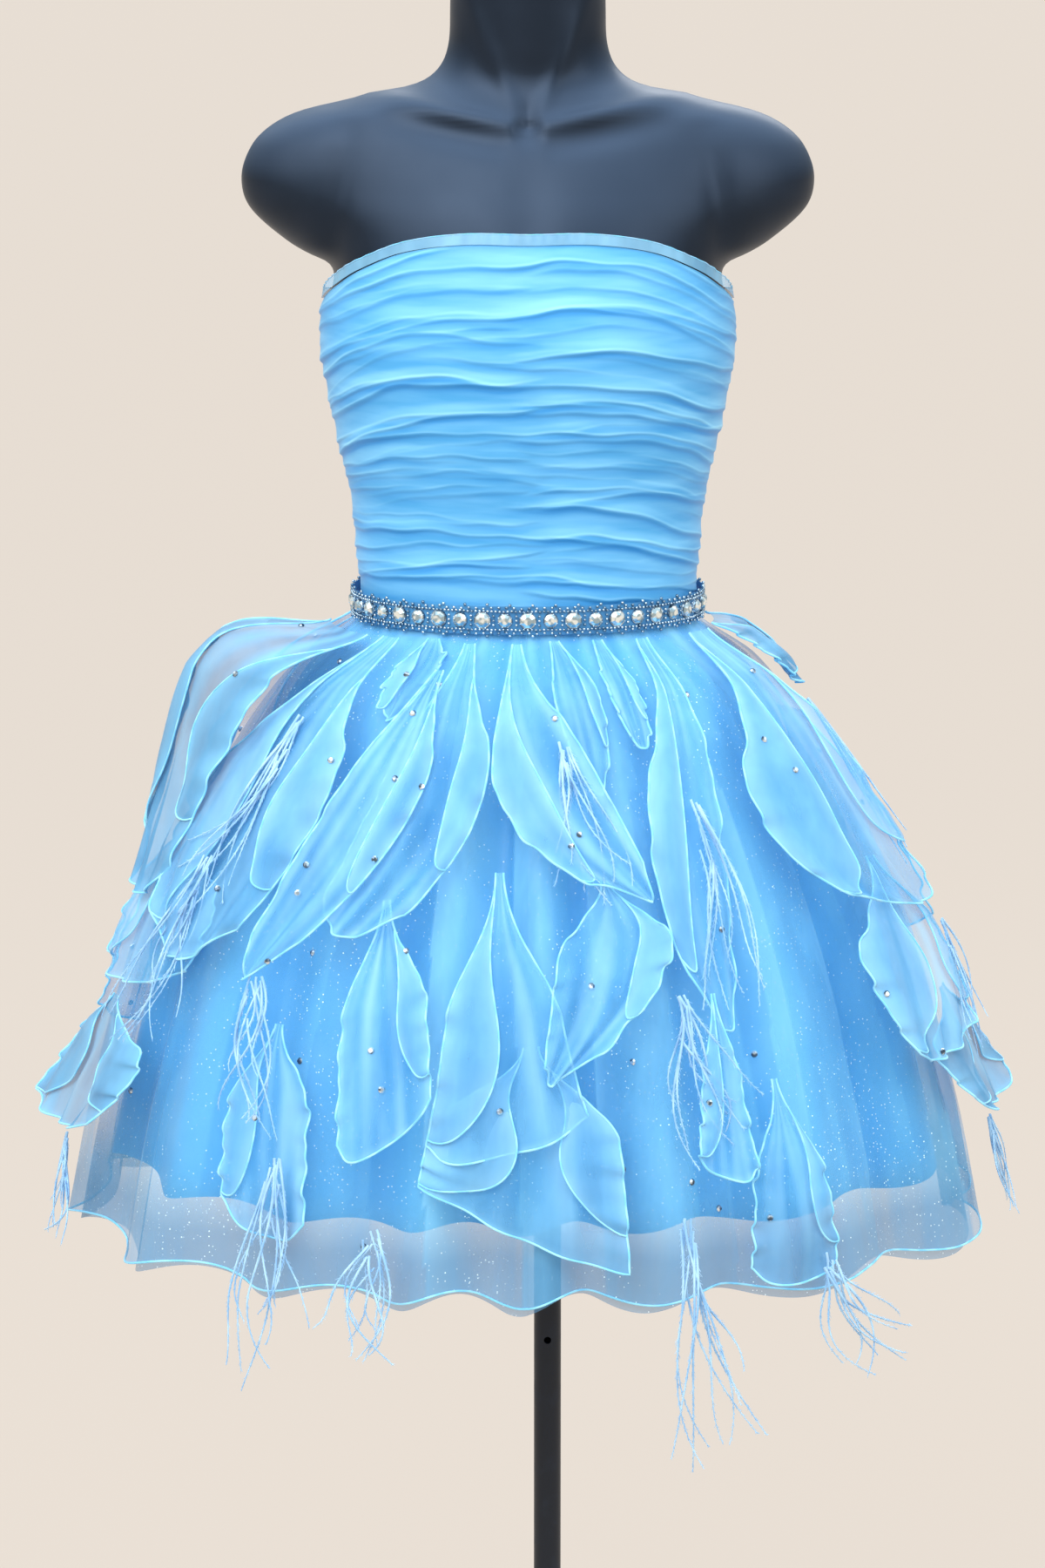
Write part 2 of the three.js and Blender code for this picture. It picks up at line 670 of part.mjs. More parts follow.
// A place on an edge that runs through three places, each an angle and a drop.
function onEdge(top, middle, tip, s) {
  const bend = (n) => 2 * middle[n] - (top[n] + tip[n]) / 2;
  return [0, 1].map((n) => (1 - s) ** 2 * top[n] + 2 * s * (1 - s) * bend(n) + s ** 2 * tip[n]);
}

// A place on a ruffle. lengthways runs from its top to its tip, and sideways from its left edge to its
// right.
function rufflePoint({ layer, flare, puff, top, middle, tip }, lengthways, sideways) {
  const s = lengthways * (1 - ROUNDING * Math.abs(2 * sideways - 1) ** 3);
  const t = 0.5 + (sideways - 0.5) * mix(DRAWN_IN.share, 1, smooth(s, 0, DRAWN_IN.length));
  const left = onEdge(top[0], middle[0], tip[0], s);
  const right = onEdge(top[1], middle[1], tip[1], s);
  const angle = radians(mix(left[0], right[0], t));
  const drop = mix(left[1], right[1], t);
  const flared = flare * s ** FLARE.curve * mix(FLARE.middle, 1, (2 * t - 1) ** 2);
  const puffed = puff * Math.max(0, 1 - s) ** PUFF.fall * smooth(s, 0, PUFF.start);
  const lift = RUFFLE_CLEARANCE + layer * RUFFLE_STEP + flared + puffed;
  return overSkirt(angle, drop - PUFF.rise * puffed, lift);
}

function ruffle(entry) {
  const step = 1e-3;
  const face = (outwards) =>
    range(RUFFLE_ROWS + 1).map((row) =>
      range(RUFFLE_COLUMNS + 1).map((column) => {
        const s = 1 - row / RUFFLE_ROWS;
        const t = column / RUFFLE_COLUMNS;
        const point = rufflePoint(entry, s, t);
        const down = rufflePoint(entry, s + step, t).sub(point);
        const across = rufflePoint(entry, s, t + step).sub(point);
        return point.addScaledVector(down.cross(across).normalize(), outwards);
      }),
    );
  return named(entry.name, patchWall(face(CLOTH), face(0)), ORGANZA);
}

// ---------- feather tufts ----------

// A thin tapered strand along a list of places.
function strand(places) {
  const rings = places.map((place, i) => {
    const share = i / (places.length - 1);
    const next = places[Math.min(i + 1, places.length - 1)];
    const before = places[Math.max(i - 1, 0)];
    const along = next.clone().sub(before).normalize();
    const sideways = new THREE.Vector3(0, 1, 0.2).cross(along).normalize();
    const outwards = along.clone().cross(sideways);
    const radius = mix(STRAND.root, STRAND.tip, share);
    return range(STRAND.sides).map((k) => {
      const turn = (2 * Math.PI * k) / STRAND.sides;
      return place
        .clone()
        .addScaledVector(sideways, radius * Math.cos(turn))
        .addScaledVector(outwards, -radius * Math.sin(turn));
    });
  });
  return toManifold(loft(rings.reverse()));
}

// The strands fan out from one root, follow the skirt and then hang straight down past its hem.
function featherTuft({ name, angle, drop, strands, length, lean, lift }) {
  const solids = range(strands).map((n) => {
    const side = n - (strands - 1) / 2;
    const own = length * (1 - TUFT.shortening * ((n * 3) % strands));
    const places = range(STRAND.steps + 1).map((k) => {
      const share = k / STRAND.steps;
      const apart = side * (TUFT.spread + TUFT.waver * Math.sin(3 * share + n));
      const drift = radians((lean + apart) * share);
      const settled = lift * (1 - TUFT.settle * share);
      const splayed = TUFT.splay * Math.abs(side) * share;
      return overSkirt(radians(angle) + drift, drop + own * share, FEATHER_CLEARANCE + settled + splayed);
    });
    return strand(places);
  });
  const knot = new THREE.BoxGeometry(TUFT.knot, TUFT.knot, TUFT.knot);
  const root = overSkirt(radians(angle), drop, FEATHER_CLEARANCE + lift);
  knot.translate(root.x, root.y, root.z);
  const joined = solids.reduce((sum, one) => sum.add(one), toManifold(knot));
  return named(name, fromManifold(joined), FEATHER);
}

// ---------- the whole ----------

const stand = new THREE.Group();
const socketPiece = socket();
socketPiece.position.z = WAIST_HEIGHT + FIGURE[0].rise;
stand.add(basePlate(), pole(), socketPiece);

const dressedForm = new THREE.Group();
dressedForm.position.set(FORM_BESIDE_POLE, 0, WAIST_HEIGHT);
dressedForm.add(formTorso(), ...bodice(), neckBinding(), jewelledBelt(), ...skirt());
dressedForm.add(...RUFFLES.map(ruffle), ...TUFTS.map(featherTuft));

const part = new THREE.Group();
part.add(stand, dressedForm);

export default part;
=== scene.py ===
"""A strapless mini dress in ruffled organza, worn by a limbless display form on a floor stand.

The pieces are placed in the dress's own measure: angles go round the waist from the centre front
towards +X, and rises and drops are millimetres above and below the waist seam.
"""

import json
import math
import random

import bmesh
import bpy
from mathutils import Matrix, Vector, noise
from mathutils.bvhtree import BVHTree

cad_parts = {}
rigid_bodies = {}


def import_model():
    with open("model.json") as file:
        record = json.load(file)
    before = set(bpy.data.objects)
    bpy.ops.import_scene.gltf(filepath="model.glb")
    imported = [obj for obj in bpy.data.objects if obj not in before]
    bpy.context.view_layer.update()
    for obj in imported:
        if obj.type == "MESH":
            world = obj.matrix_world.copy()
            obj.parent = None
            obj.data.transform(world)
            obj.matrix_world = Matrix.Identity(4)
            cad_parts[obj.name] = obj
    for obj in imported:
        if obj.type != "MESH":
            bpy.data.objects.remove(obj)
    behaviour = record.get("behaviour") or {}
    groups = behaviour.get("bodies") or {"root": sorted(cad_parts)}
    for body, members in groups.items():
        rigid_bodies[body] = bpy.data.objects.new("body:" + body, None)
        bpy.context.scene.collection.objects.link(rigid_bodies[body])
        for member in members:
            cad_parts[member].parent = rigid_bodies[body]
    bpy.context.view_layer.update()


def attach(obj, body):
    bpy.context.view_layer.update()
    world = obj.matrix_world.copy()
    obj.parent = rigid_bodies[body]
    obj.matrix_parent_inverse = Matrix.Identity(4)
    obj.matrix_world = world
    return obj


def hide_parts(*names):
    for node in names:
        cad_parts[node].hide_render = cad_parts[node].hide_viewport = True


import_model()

bl_info = {
    "name": "Ruffled Organza Mini Dress",
    "version": (1, 0, 0),
    "blender": (4, 5, 0),
    "location": "View3D > Sidebar > Dress",
    "description": "Builds a strapless mini dress, its display form and a plain studio",
    "category": "Object",
}

MM = 0.001
BODY = "root"

# ---------- driving dimensions, in millimetres ----------

WAIST_HEIGHT = 1000
FORM_BESIDE_POLE = -14

BASE_RADIUS = 165
BASE_THICKNESS = 8
BASE_EDGE = 2.5
POLE_RADIUS = 9.5
POLE_WALL = 1.5
PIN_HOLE = {"radius": 2.6, "height": 473}
SOCKET = {"radius": 27, "neck": 14, "flange": 5, "shoulder": 3, "length": 34}
GAP = 0.3

BODICE_BOTTOM = 1
BODICE_EASE = 3.7
BINDING = {"height": 7, "ease": 5.4, "flute": 0.5, "flutes": 90, "turnings": 4, "thread": 0.4}
BELT = {"bottom": -10, "height": 19, "ease": 9.2}

SKIRT_TOP = -0.6
FOLDS = 16
FOLD = {"drift": 0.9, "fine_drift": 0.7, "unevenness": 0.16, "hem_lag": 0.1}
LAYERS_PART_BY = 120
RUFFLE_CLEARANCE = 4.6
RUFFLE_STEP = 4
PUFF = {"fall": 1.6, "start": 0.3, "rise": 0.35}
FLARE = {"curve": 1.8, "middle": 0.35}
FEATHER_CLEARANCE = 21
ORGANZA_HEM = 424

# ---------- tables, in millimetres and degrees ----------


def table(keys, *rows):
    """Rows with named columns."""
    return [dict(zip(keys.split(), row)) for row in rows]


# The display form's level sections: reach to the side, front and back, and the capped arm's extra.
FIGURE = table(
    "rise side front back arm",
    (-190, 136, 76, 90, 0),
    (-180, 150, 88, 103, 0),
    (-125, 157, 95, 111, 0),
    (-60, 133, 91, 97, 0),
    (-20, 112, 83, 81, 0),
    (0, 110, 82, 79, 0),
    (30, 112, 84, 80, 0),
    (76, 117, 92, 84, 0),
    (124, 127.5, 103, 88, 0),
    (171, 136, 112, 91, 0),
    (195, 136, 112, 92, 0),
    (226, 134, 106.5, 92, 0),
    (244, 135, 101.5, 91, 27),
    (266, 138, 93, 88, 49),
    (284, 138, 84, 84, 55),
    (302, 136, 74, 79, 53),
    (318, 130, 64, 73, 47),
    (331, 118, 56, 66, 35),
    (340, 98, 50, 60, 15),
    (348, 74, 46, 55, 3),
    (358, 61, 44, 52, 0),
    (374, 53.5, 45, 50, 0),
    (400, 52, 46, 48, 0),
    (424, 51.5, 46, 47, 0),
    (428, 48.5, 43, 44, 0),
)
SECTION_POWER = 2.15
ARM_POWER = 18

# How far the bodice's top edge stands above the waist, round one side.
NECKLINE = table(
    "angle rise",
    (0, 250),
    (24, 250),
    (43, 244),
    (58, 231),
    (72, 217),
    (90, 205),
    (130, 198),
    (180, 196),
)

# The outer layer without its folds, and how deep its folds and gathers are there.
SKIRT = table(
    "drop side front back fold gather",
    (-1, 115.4, 87.4, 84.4, 0, 0.2),
    (13, 117, 89, 86, 0, 0.5),
    (45, 158, 125, 120, 3, 2),
    (110, 204, 158, 152, 7, 0),
    (215, 256, 199, 192, 11, 0),
    (330, 290, 228, 220, 13, 0),
    (440, 312, 248, 240, 14, 0),
)

# The skirt's three layers, from the outside in.
LAYERS = table(
    "name finish hem wave waist low share",
    ("skirt_organza", "organza", 424, 6, 0, 0, 1.0),
    ("skirt_tulle", "tulle", 430, 8, 1.5, 9, 0.9),
    ("skirt_satin", "satin", 384, 5, 3, 20, 0.7),
)

# The ruffles. top, middle and tip each hold the left edge's angle and drop, then the right edge's.
# layer sets how far out a ruffle lies, and flare and puff how far its tip and its top stand off.
RUFFLES = table(
    "name layer flare puff top middle tip",
    ("left_hip", 3, 0, 104, (-88, 14, -58, 14), (-96, 80, -66, 84), (-83, 186, -70, 194)),
    ("left_side", 2, 2, 3, (-56, 14, -44, 14), (-72, 118, -42, 116), (-64, 222, -54, 218)),
    ("left_small", 0, 2, 1, (-41, 14, -33, 14), (-41, 34, -29, 30), (-37, 60, -34, 61)),
    ("left_leaf", 5, 4, 4, (-27, 28, -23, 28), (-38, 108, -22, 108), (-45, 220, -43, 222)),
    ("left_leaf_under", 3, 3, 5, (-24, 14, -17, 14), (-30, 98, -9, 98), (-36, 184, -27, 196)),
    ("left_cone", 2, 5, 2, (-31, 172, -20, 164), (-29, 262, -16, 236), (-27, 341, -14, 299)),
    ("left_hem", 0, 4, 2, (-46, 252, -35, 252), (-46, 318, -33, 316), (-44, 378, -31, 394)),
    ("front_leaf", 3, 6, 5, (-7, 14, -1, 14), (-5, 108, 13, 80), (20, 165, 23, 168)),
    ("front_small", 0, 2, 1, (7, 14, 14, 14), (8, 54, 20, 46), (14, 102, 17, 104)),
    ("front_fan", 2, 6, 2, (8, 148, 20, 160), (4.5, 214, 23.5, 202), (2, 281, 5, 277)),
    ("front_back_fan", 1, 2, 1, (-13, 150, 2, 150), (-13.5, 256, 6, 250), (-16, 338, 10, 311)),
    ("front_low", 0, 2, 0, (-12, 262, 13, 254), (-15, 312, 14, 332), (-16, 350, 14, 408)),
    ("right_small", 0, 2, 1, (24, 14, 31, 14), (23, 44, 31, 42), (26, 76, 29, 77)),
    ("right_leaf", 1, 2, 4, (39, 14, 47, 14), (24.5, 128, 39, 122), (30, 250, 33, 252)),
    ("right_cone", 3, 5, 2, (27, 226, 32, 226), (25.5, 290, 31.5, 290), (23.5, 334, 32.5, 350)),
    ("right_hem", 0, 4, 2, (35, 286, 42, 286), (33, 360, 44, 360), (31, 416, 43, 418)),
    ("right_side", 2, 10, 10, (56, 14, 76, 14), (45.5, 120, 78, 110), (62, 186, 82, 204)),
    ("right_hip", 1, 2, 40, (82, 14, 102, 14), (84, 34, 110, 38), (90, 60, 102, 64)),
    ("right_mid", 1, 12, 3, (58, 156, 82, 168), (57, 232, 84, 240), (62, 296, 76, 292)),
    ("right_low", 0, 30, 1, (68, 262, 92, 258), (68, 302, 93, 304), (73, 340, 88, 344)),
    ("left_mid", 0, 3, 1, (-86, 136, -60, 140), (-88, 200, -58, 194), (-86, 258, -60, 240)),
    ("left_point", 0, 36, 1, (-90, 268, -64, 258), (-92, 312, -62, 302), (-87, 356, -66, 344)),
    ("back_left_leaf", 3, 10, 8, (-126, 14, -112, 14), (-138, 96, -106, 104), (-130, 226, -124, 228)),
    ("back_left_cone", 1, 8, 4, (-120, 180, -104, 180), (-124, 258, -101, 262), (-121, 340, -104, 312)),
    ("back_leaf", 3, 8, 6, (-167, 14, -156, 14), (-180, 104, -150, 96), (-189, 222, -185, 225)),
    ("back_cone", 1, 6, 3, (-170, 190, -150, 180), (-168, 270, -149, 262), (-166, 348, -150, 310)),
    ("back_right_leaf", 2, 8, 6, (146, 14, 160, 14), (134, 104, 162, 92), (128, 214, 134, 217)),
    ("back_right_fan", 0, 6, 3, (137, 212, 155, 212), (135, 286, 157, 282), (138, 358, 154, 330)),
    ("back_side", 2, 14, 5, (108, 92, 122, 92), (104, 176, 126, 176), (109, 260, 121, 252)),
)

# The feather tufts. lean is how far the strands drift round the skirt as they fall, in degrees.
TUFTS = table(
    "name angle drop strands length lean lift",
    ("left_hip", -54, 58, 5, 124, -4, 0),
    ("left_side", -60, 150, 5, 120, -3, 0),
    ("left_leaf", -42, 216, 5, 95, 3, 8),
    ("left_point", -80, 362, 4, 62, 4, -10),
    ("left_hem", -36, 330, 5, 150, 0, -4),
    ("front_left", -22, 372, 4, 84, 0, -8),
    ("front", 8, 66, 5, 96, 5, 2),
    ("front_right", 22, 352, 5, 172, 2, -4),
    ("right_leaf", 33, 104, 5, 130, -1, 0),
    ("right_cone", 24, 222, 5, 104, 3, 2),
    ("right_hip", 92, 68, 5, 110, -3, -12),
    ("right_side", 80, 212, 5, 92, 2, 0),
    ("right_low", 82, 352, 4, 70, 2, -8),
    ("right_hem", 42, 396, 4, 84, 6, -8),
    ("back_left", -118, 214, 5, 118, -3, 6),
    ("back", -176, 220, 5, 110, 3, 2),
    ("back_right", 142, 344, 5, 140, 2, -4),
)


def srgb(code):
    """The linear colour of an sRGB hex value, such as #7cc7f4."""
    channels = (int(code[i : i + 2], 16) / 255 for i in (1, 3, 5))
    return tuple(c / 12.92 if c <= 0.04045 else ((c + 0.055) / 1.055) ** 2.4 for c in channels)


# ---------- what a user may change ----------


def length_property(name, description, default):
    return bpy.props.FloatProperty(name=name, description=description, default=default, unit="LENGTH")


def colour_property(name, description, code):
    return bpy.props.FloatVectorProperty(
        name=name, description=description, default=srgb(code), subtype="COLOR", min=0, max=1
    )


class DressSizes(bpy.types.PropertyGroup):
    bodice_folds: bpy.props.IntProperty(
        name="Bodice folds", description="Folds from the waist to the top edge", default=27
    )
    fold_height: length_property("Fold height", "How far a bodice fold stands out", 0.0026)
    piping_radius: length_property("Rolled edge radius", "Half the thickness of a rolled edge", 0.0008)
    stones: bpy.props.IntProperty(name="Belt stones", description="Large stones round the belt", default=44)
    bead_radius: length_property("Bead radius", "Radius of the belt's small beads", 0.00105)
    crystal_radius: length_property("Crystal radius", "Radius of a crystal on a ruffle", 0.0023)
    strands: bpy.props.IntProperty(name="Strands", description="Strands in each feather tuft", default=10)
    strand_radius: length_property("Strand radius", "Radius of a feather strand at its root", 0.00105)


class DressColours(bpy.types.PropertyGroup):
    organza: colour_property("Organza", "The sheer outer cloth", "#74c6f5")
    bodice: colour_property("Bodice", "The ruched organza over its base", "#489fd6")
    satin: colour_property("Satin", "The lining", "#80dafe")
    tulle: colour_property("Tulle", "The middle layer", "#8ac8ea")
    piping: colour_property("Rolled edge", "The thread of the rolled edges", "#9cdff8")
    feather: colour_property("Feather", "The feather strands", "#b4dcf6")
    form: colour_property("Form", "The display form's shell", "#10151d")
    steel: colour_property("Stand", "The stand's powder coat", "#151a23")
    floor: colour_property("Floor", "The studio floor", "#e8dcd0")


# ---------- measures of the dress ----------


def lerp(a, b, t):
    return a + (b - a) * t


def smooth(x, low, high):
    t = min(1.0, max(0.0, (x - low) / (high - low)))
    return t * t * (3 - 2 * t)


def read_rows(rows, key, value):
    """A whole row of a table, read smoothly between rows that are sorted by key."""
    last = len(rows) - 1
    held = min(max(value, rows[0][key]), rows[last][key])
    row = max(n for n in range(last) if rows[n][key] <= held)
    span = rows[row + 1][key] - rows[row][key]
    t = (held - rows[row][key]) / span
    weights = (2 * t**3 - 3 * t**2 + 1, t**3 - 2 * t**2 + t, -2 * t**3 + 3 * t**2, t**3 - t**2)
    near = (rows[max(0, row - 1)], rows[row], rows[row + 1], rows[min(last, row + 2)])

    def column(name):
        slope = (near[2][name] - near[0][name]) / (near[2][key] - near[0][key])
        later = (near[3][name] - near[1][name]) / (near[3][key] - near[1][key])
        knots = (near[1][name], span * slope, near[2][name], span * later)
        return sum(w * k for w, k in zip(weights, knots))

    return {name: column(name) for name in rows[0] if name != key}


class Measure:
    """A table read at every tenth of a millimetre or degree only once."""

    def __init__(self, rows, key):
        self.rows, self.key, self.known = rows, key, {}

    def at(self, value):
        place = round(value, 1)
        if place not in self.known:
            self.known[place] = read_rows(self.rows, self.key, place)
        return self.known[place]


FIGURE_AT = Measure(FIGURE, "rise")
NECKLINE_AT = Measure(NECKLINE, "angle")
SKIRT_AT = Measure(SKIRT, "drop")


def section_reach(row, angle):
    """The reach of a rounded oblong section in the direction of an angle in radians."""
    across = abs(math.sin(angle)) / row["side"]
    deep = abs(math.cos(angle)) / (row["front"] if math.cos(angle) > 0 else row["back"])
    return (across**SECTION_POWER + deep**SECTION_POWER) ** (-1 / SECTION_POWER)


def figure_reach(rise, angle):
    row = FIGURE_AT.at(rise)
    return section_reach(row, angle) + row["arm"] * abs(math.sin(angle)) ** ARM_POWER


def neckline_rise(angle):
    turn = abs(math.degrees(math.atan2(math.sin(angle), math.cos(angle))))
    return NECKLINE_AT.at(turn)["rise"]


def fold_wave(angle):
    """The skirt's folds, from -1 to 1, unevenly spaced round it."""
    drift = FOLD["drift"] * math.sin(2 * angle + 0.7) + FOLD["fine_drift"] * math.sin(3 * angle)
    depth = 1 + FOLD["unevenness"] * (math.sin(5 * angle + 1) - 1)
    return depth * math.sin(FOLDS * angle + drift)


def at(angle, radius, rise):
    """A place in the part's frame, in metres."""
    x = FORM_BESIDE_POLE + radius * math.sin(angle)
    return Vector((x, -radius * math.cos(angle), WAIST_HEIGHT + rise)) * MM


def over_skirt(angle, drop, lift):
    """The surface that hangs over the outer layer's crests, lifted by so many millimetres."""
    held = min(drop, ORGANZA_HEM)
    row = SKIRT_AT.at(held)
    return at(angle, section_reach(row, angle) + row["fold"] + lift, -drop)


def soft_noise(*place):
    return noise.noise(Vector((*place, 0, 0)[:3]))


# ---------- making pieces ----------


def cloth_grid(columns, rows, place, wraps=False, crest=None):
    """A grid of cloth with its UV map. place gives a point for a share across and a share upwards."""
    bm = bmesh.new()
    bm.loops.layers.uv.new("UVMap")
    bmesh.ops.create_grid(bm, x_segments=columns, y_segments=rows, size=0.5, calc_uvs=True)
    shade = bm.verts.layers.float.new("crest")
    for vert in bm.verts:
        u, v = vert.co.x + 0.5, vert.co.y + 0.5
        vert.co = place(u, v)
        if crest:
            vert[shade] = crest(u, v)
    if wraps:
        bmesh.ops.remove_doubles(bm, verts=bm.verts, dist=1e-6)
    for face in bm.faces:
        face.smooth = True
    return bm


def finished(bm, name, material, nodes=(), slot=None):
    """The bmesh as a piece of the dress that stands for the nodes."""
    mesh = bpy.data.meshes.new(name)
    bm.to_mesh(mesh)
    bm.free()
    return placed(mesh, name, material, nodes, slot)


def placed(mesh, name, material, nodes=(), slot=None):
    mesh.materials.clear()
    mesh.materials.append(material)
    piece = bpy.data.objects.new(name, mesh)
    bpy.context.scene.collection.objects.link(piece)
    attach(piece, BODY)
    if nodes:
        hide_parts(*nodes)
    return piece


def threads(name, lines, sides, material, slot=None, nodes=()):
    """Thin round threads. Each line is a list of places, each with its own radius, in metres."""
    curve = bpy.data.curves.new(name, "CURVE")
    curve.dimensions = "3D"
    curve.bevel_depth = 1.0
    curve.bevel_resolution = max(0, (sides - 4) // 2)
    curve.use_fill_caps = True
    for line in lines:
        spline = curve.splines.new("POLY")
        spline.points.add(len(line) - 1)
        for point, (co, radius) in zip(spline.points, line):
            point.co = (*co, 1)
            point.radius = radius
    holder = bpy.data.objects.new(name + ".line", curve)
    bpy.context.scene.collection.objects.link(holder)
    graph = bpy.context.evaluated_depsgraph_get()
    mesh = bpy.data.meshes.new_from_object(holder.evaluated_get(graph))
    bpy.data.objects.remove(holder)
    bpy.data.curves.remove(curve)
    for face in mesh.polygons:
        face.use_smooth = True
    mesh.name = name
    return placed(mesh, name, material, nodes, slot)


def run_length(places):
    return sum((b - a).length for a, b in zip(places, places[1:]))


def as_sheet(place, turnings=0.0, grain=(120, 160)):
    """Declares a cloth piece. Its cut is as wide and long as its longest runs along the grain."""
    across = [n / grain[0] for n in range(grain[0] + 1)]
    along = [n / grain[1] for n in range(grain[1] + 1)]
    some = [n / 8 for n in range(9)]
    width = max(run_length([place(u, v) for u in across]) for v in some)
    length = max(run_length([place(u, v) for v in along]) for u in some) + turnings


def turned(outline, segments):
    """A turned piece from pairs of radius and height that start and end on the axis."""
    bm = bmesh.new()
    verts = [bm.verts.new(Vector((radius, 0, height)) * MM) for radius, height in outline]
    edges = [bm.edges.new(pair) for pair in zip(verts, verts[1:])]
    axis = {"cent": (0, 0, 0), "axis": (0, 0, 1), "angle": 2 * math.pi}
    bmesh.ops.spin(bm, geom=verts + edges, steps=segments, use_merge=True, **axis)
    bmesh.ops.remove_doubles(bm, verts=bm.verts, dist=1e-6)
    bmesh.ops.recalc_face_normals(bm, faces=bm.faces)
    return bm


# ---------- materials ----------


def wire(tree, node, **inputs):
    """Sets a node's inputs: a socket is linked, and a value is set. An underscore stands for a space."""
    for key, value in inputs.items():
        socket = node.inputs[key.replace("_", " ")]
        if isinstance(value, bpy.types.NodeSocket):
            tree.links.new(value, socket)
        else:
            socket.default_value = value
    return node


def add_node(tree, kind, settings=None, **inputs):
    """Adds a node with its settings and its inputs."""
    node = tree.nodes.new(kind)
    for key, value in (settings or {}).items():
        setattr(node, key, value)
    return wire(tree, node, **inputs)


def new_material(name):
    """A material with only its shader, and the tree to build on."""
    material = bpy.data.materials.new(name)
    material.use_nodes = True
    tree = material.node_tree
    shader = next(n for n in tree.nodes if n.type == "BSDF_PRINCIPLED")
    return material, tree, shader


def with_alpha(colour):
    return (*colour, 1.0)


def blend(tree, share, first, second):
    """Mixes two colours, each a socket or a linear colour."""
    mixed = add_node(tree, "ShaderNodeMix", {"data_type": "RGBA"})
    for index, value in ((0, share), (6, first), (7, second)):
        if isinstance(value, bpy.types.NodeSocket):
            tree.links.new(value, mixed.inputs[index])
        else:
            mixed.inputs[index].default_value = value if index == 0 else with_alpha(value)
    return mixed.outputs[2]


def in_range(tree, value, low, high, to_low=0.0, to_high=1.0):
    """The value, carried from one range to another and held in it."""
    ends = {"From_Min": low, "From_Max": high, "To_Min": to_low, "To_Max": to_high}
    return add_node(tree, "ShaderNodeMapRange", {"clamp": True}, Value=value, **ends).outputs["Result"]


def calculated(tree, operation, first, second):
    node = add_node(tree, "ShaderNodeMath", {"operation": operation})
    for index, value in enumerate((first, second)):
        if isinstance(value, bpy.types.NodeSocket):
            tree.links.new(value, node.inputs[index])
        else:
            node.inputs[index].default_value = value
    return node.outputs[0]


def object_place(tree):
    return add_node(tree, "ShaderNodeTexCoord").outputs["Object"]


def stretched_noise(tree, scale, detail):
    """Noise that is drawn out: scale holds its turns to a metre along x, y and z."""
    stretched = add_node(tree, "ShaderNodeMapping", Vector=object_place(tree), Scale=scale).outputs["Vector"]
    return add_node(tree, "ShaderNodeTexNoise", Vector=stretched, Scale=1.0, Detail=detail).outputs["Fac"]


def cloudy(tree, size_mm, detail=2.0):
    """Soft uneven patches of about this size."""
    place, scale = object_place(tree), 1000 / size_mm
    return add_node(tree, "ShaderNodeTexNoise", Vector=place, Scale=scale, Detail=detail).outputs["Fac"]


def bump(tree, shader, height, strength, distance_mm):
    node = add_node(tree, "ShaderNodeBump", Height=height, Strength=strength, Distance=distance_mm * MM)
    tree.links.new(node.outputs["Normal"], shader.inputs["Normal"])


def below_lining(tree):
    """1 in the hem below the lining, where the cloth is doubled and looks denser, and 0 above it."""
    height = add_node(tree, "ShaderNodeSeparateXYZ", Vector=object_place(tree)).outputs["Z"]
    return in_range(tree, height, 0.60, 0.64, 1.0, 0.0)


def painted_light_and_layers_of(tree):
    """How near a point is to the crest of its fold."""
    return add_node(tree, "ShaderNodeAttribute", {"attribute_name": "crest"}).outputs["Fac"]


def organza(name, colour, dark, light, open_share, dense_share, glitters=False):
    """Silk organza: a crisp sheer plain weave. Where it folds, two or three layers turn it milky."""
    material, tree, shader = new_material(name)
    crest = painted_light_and_layers_of(tree)
    patches = in_range(tree, cloudy(tree, 30, 3.0), 0.35, 0.68)
    # At high crest values the colour turns pale: partly doubled cloth and partly painted highlight.
    body = blend(tree, crest, blend(tree, patches, dark, colour), light)
    # Below the lining the colour turns a darker grey blue: painted shade.
    painted_hem_shade = calculated(tree, "MULTIPLY", below_lining(tree), 0.7)
    body = blend(tree, painted_hem_shade, body, srgb("#4a86b4"))
    # Soft streaks, 16 mm wide and 140 mm long, run down the cloth where its threads lie closer.
    weave = stretched_noise(tree, (60, 60, 7), 2.0)
    closer = in_range(tree, weave, 0.35, 0.7, -0.06, 0.08)
    cover = calculated(tree, "ADD", in_range(tree, crest, 0, 1, open_share, dense_share), closer)
    cover = calculated(tree, "ADD", cover, calculated(tree, "MULTIPLY", below_lining(tree), 0.2))
    if glitters:
        groups = in_range(tree, cloudy(tree, 80), 0.46, 0.6)
        glint = calculated(tree, "MULTIPLY", glitter(tree, 2.6, 0.3), groups)
        body = blend(tree, glint, body, srgb("#e4fbff"))
        cover = calculated(tree, "MAXIMUM", cover, glint)
    wire(tree, shader, Base_Color=body, Alpha=calculated(tree, "MINIMUM", cover, 1.0), Roughness=0.42)
    wire(tree, shader, Specular_IOR_Level=0.3, Sheen_Weight=0.12, Sheen_Roughness=0.35)
    bump(tree, shader, weave, 0.35, 1.2)
    return material


def ruched_organza(name, colour, dark, light):
    """Silk organza drawn into folds over its base: hollows are deep blue, and a crest is one bright line."""
    material, tree, shader = new_material(name)
    crest = painted_light_and_layers_of(tree)
    # The haze is where two layers lie together. It runs along the folds, 90 mm long and 12 mm high.
    haze = stretched_noise(tree, (11, 11, 85), 3.0)
    base = blend(tree, in_range(tree, haze, 0.36, 0.66), colour, srgb("#6bb7e6"))
    # Painted shade darkens the hollows under the folds, and a painted highlight brightens their crests.
    hollow = blend(tree, in_range(tree, crest, -0.8, 0.05), dark, base)
    body = blend(tree, in_range(tree, crest, 0.08, 1.0), hollow, light)
    wire(tree, shader, Base_Color=body, Roughness=0.45, Sheen_Weight=0.08, Sheen_Roughness=0.35)
    bump(tree, shader, haze, 0.25, 0.8)
    return material


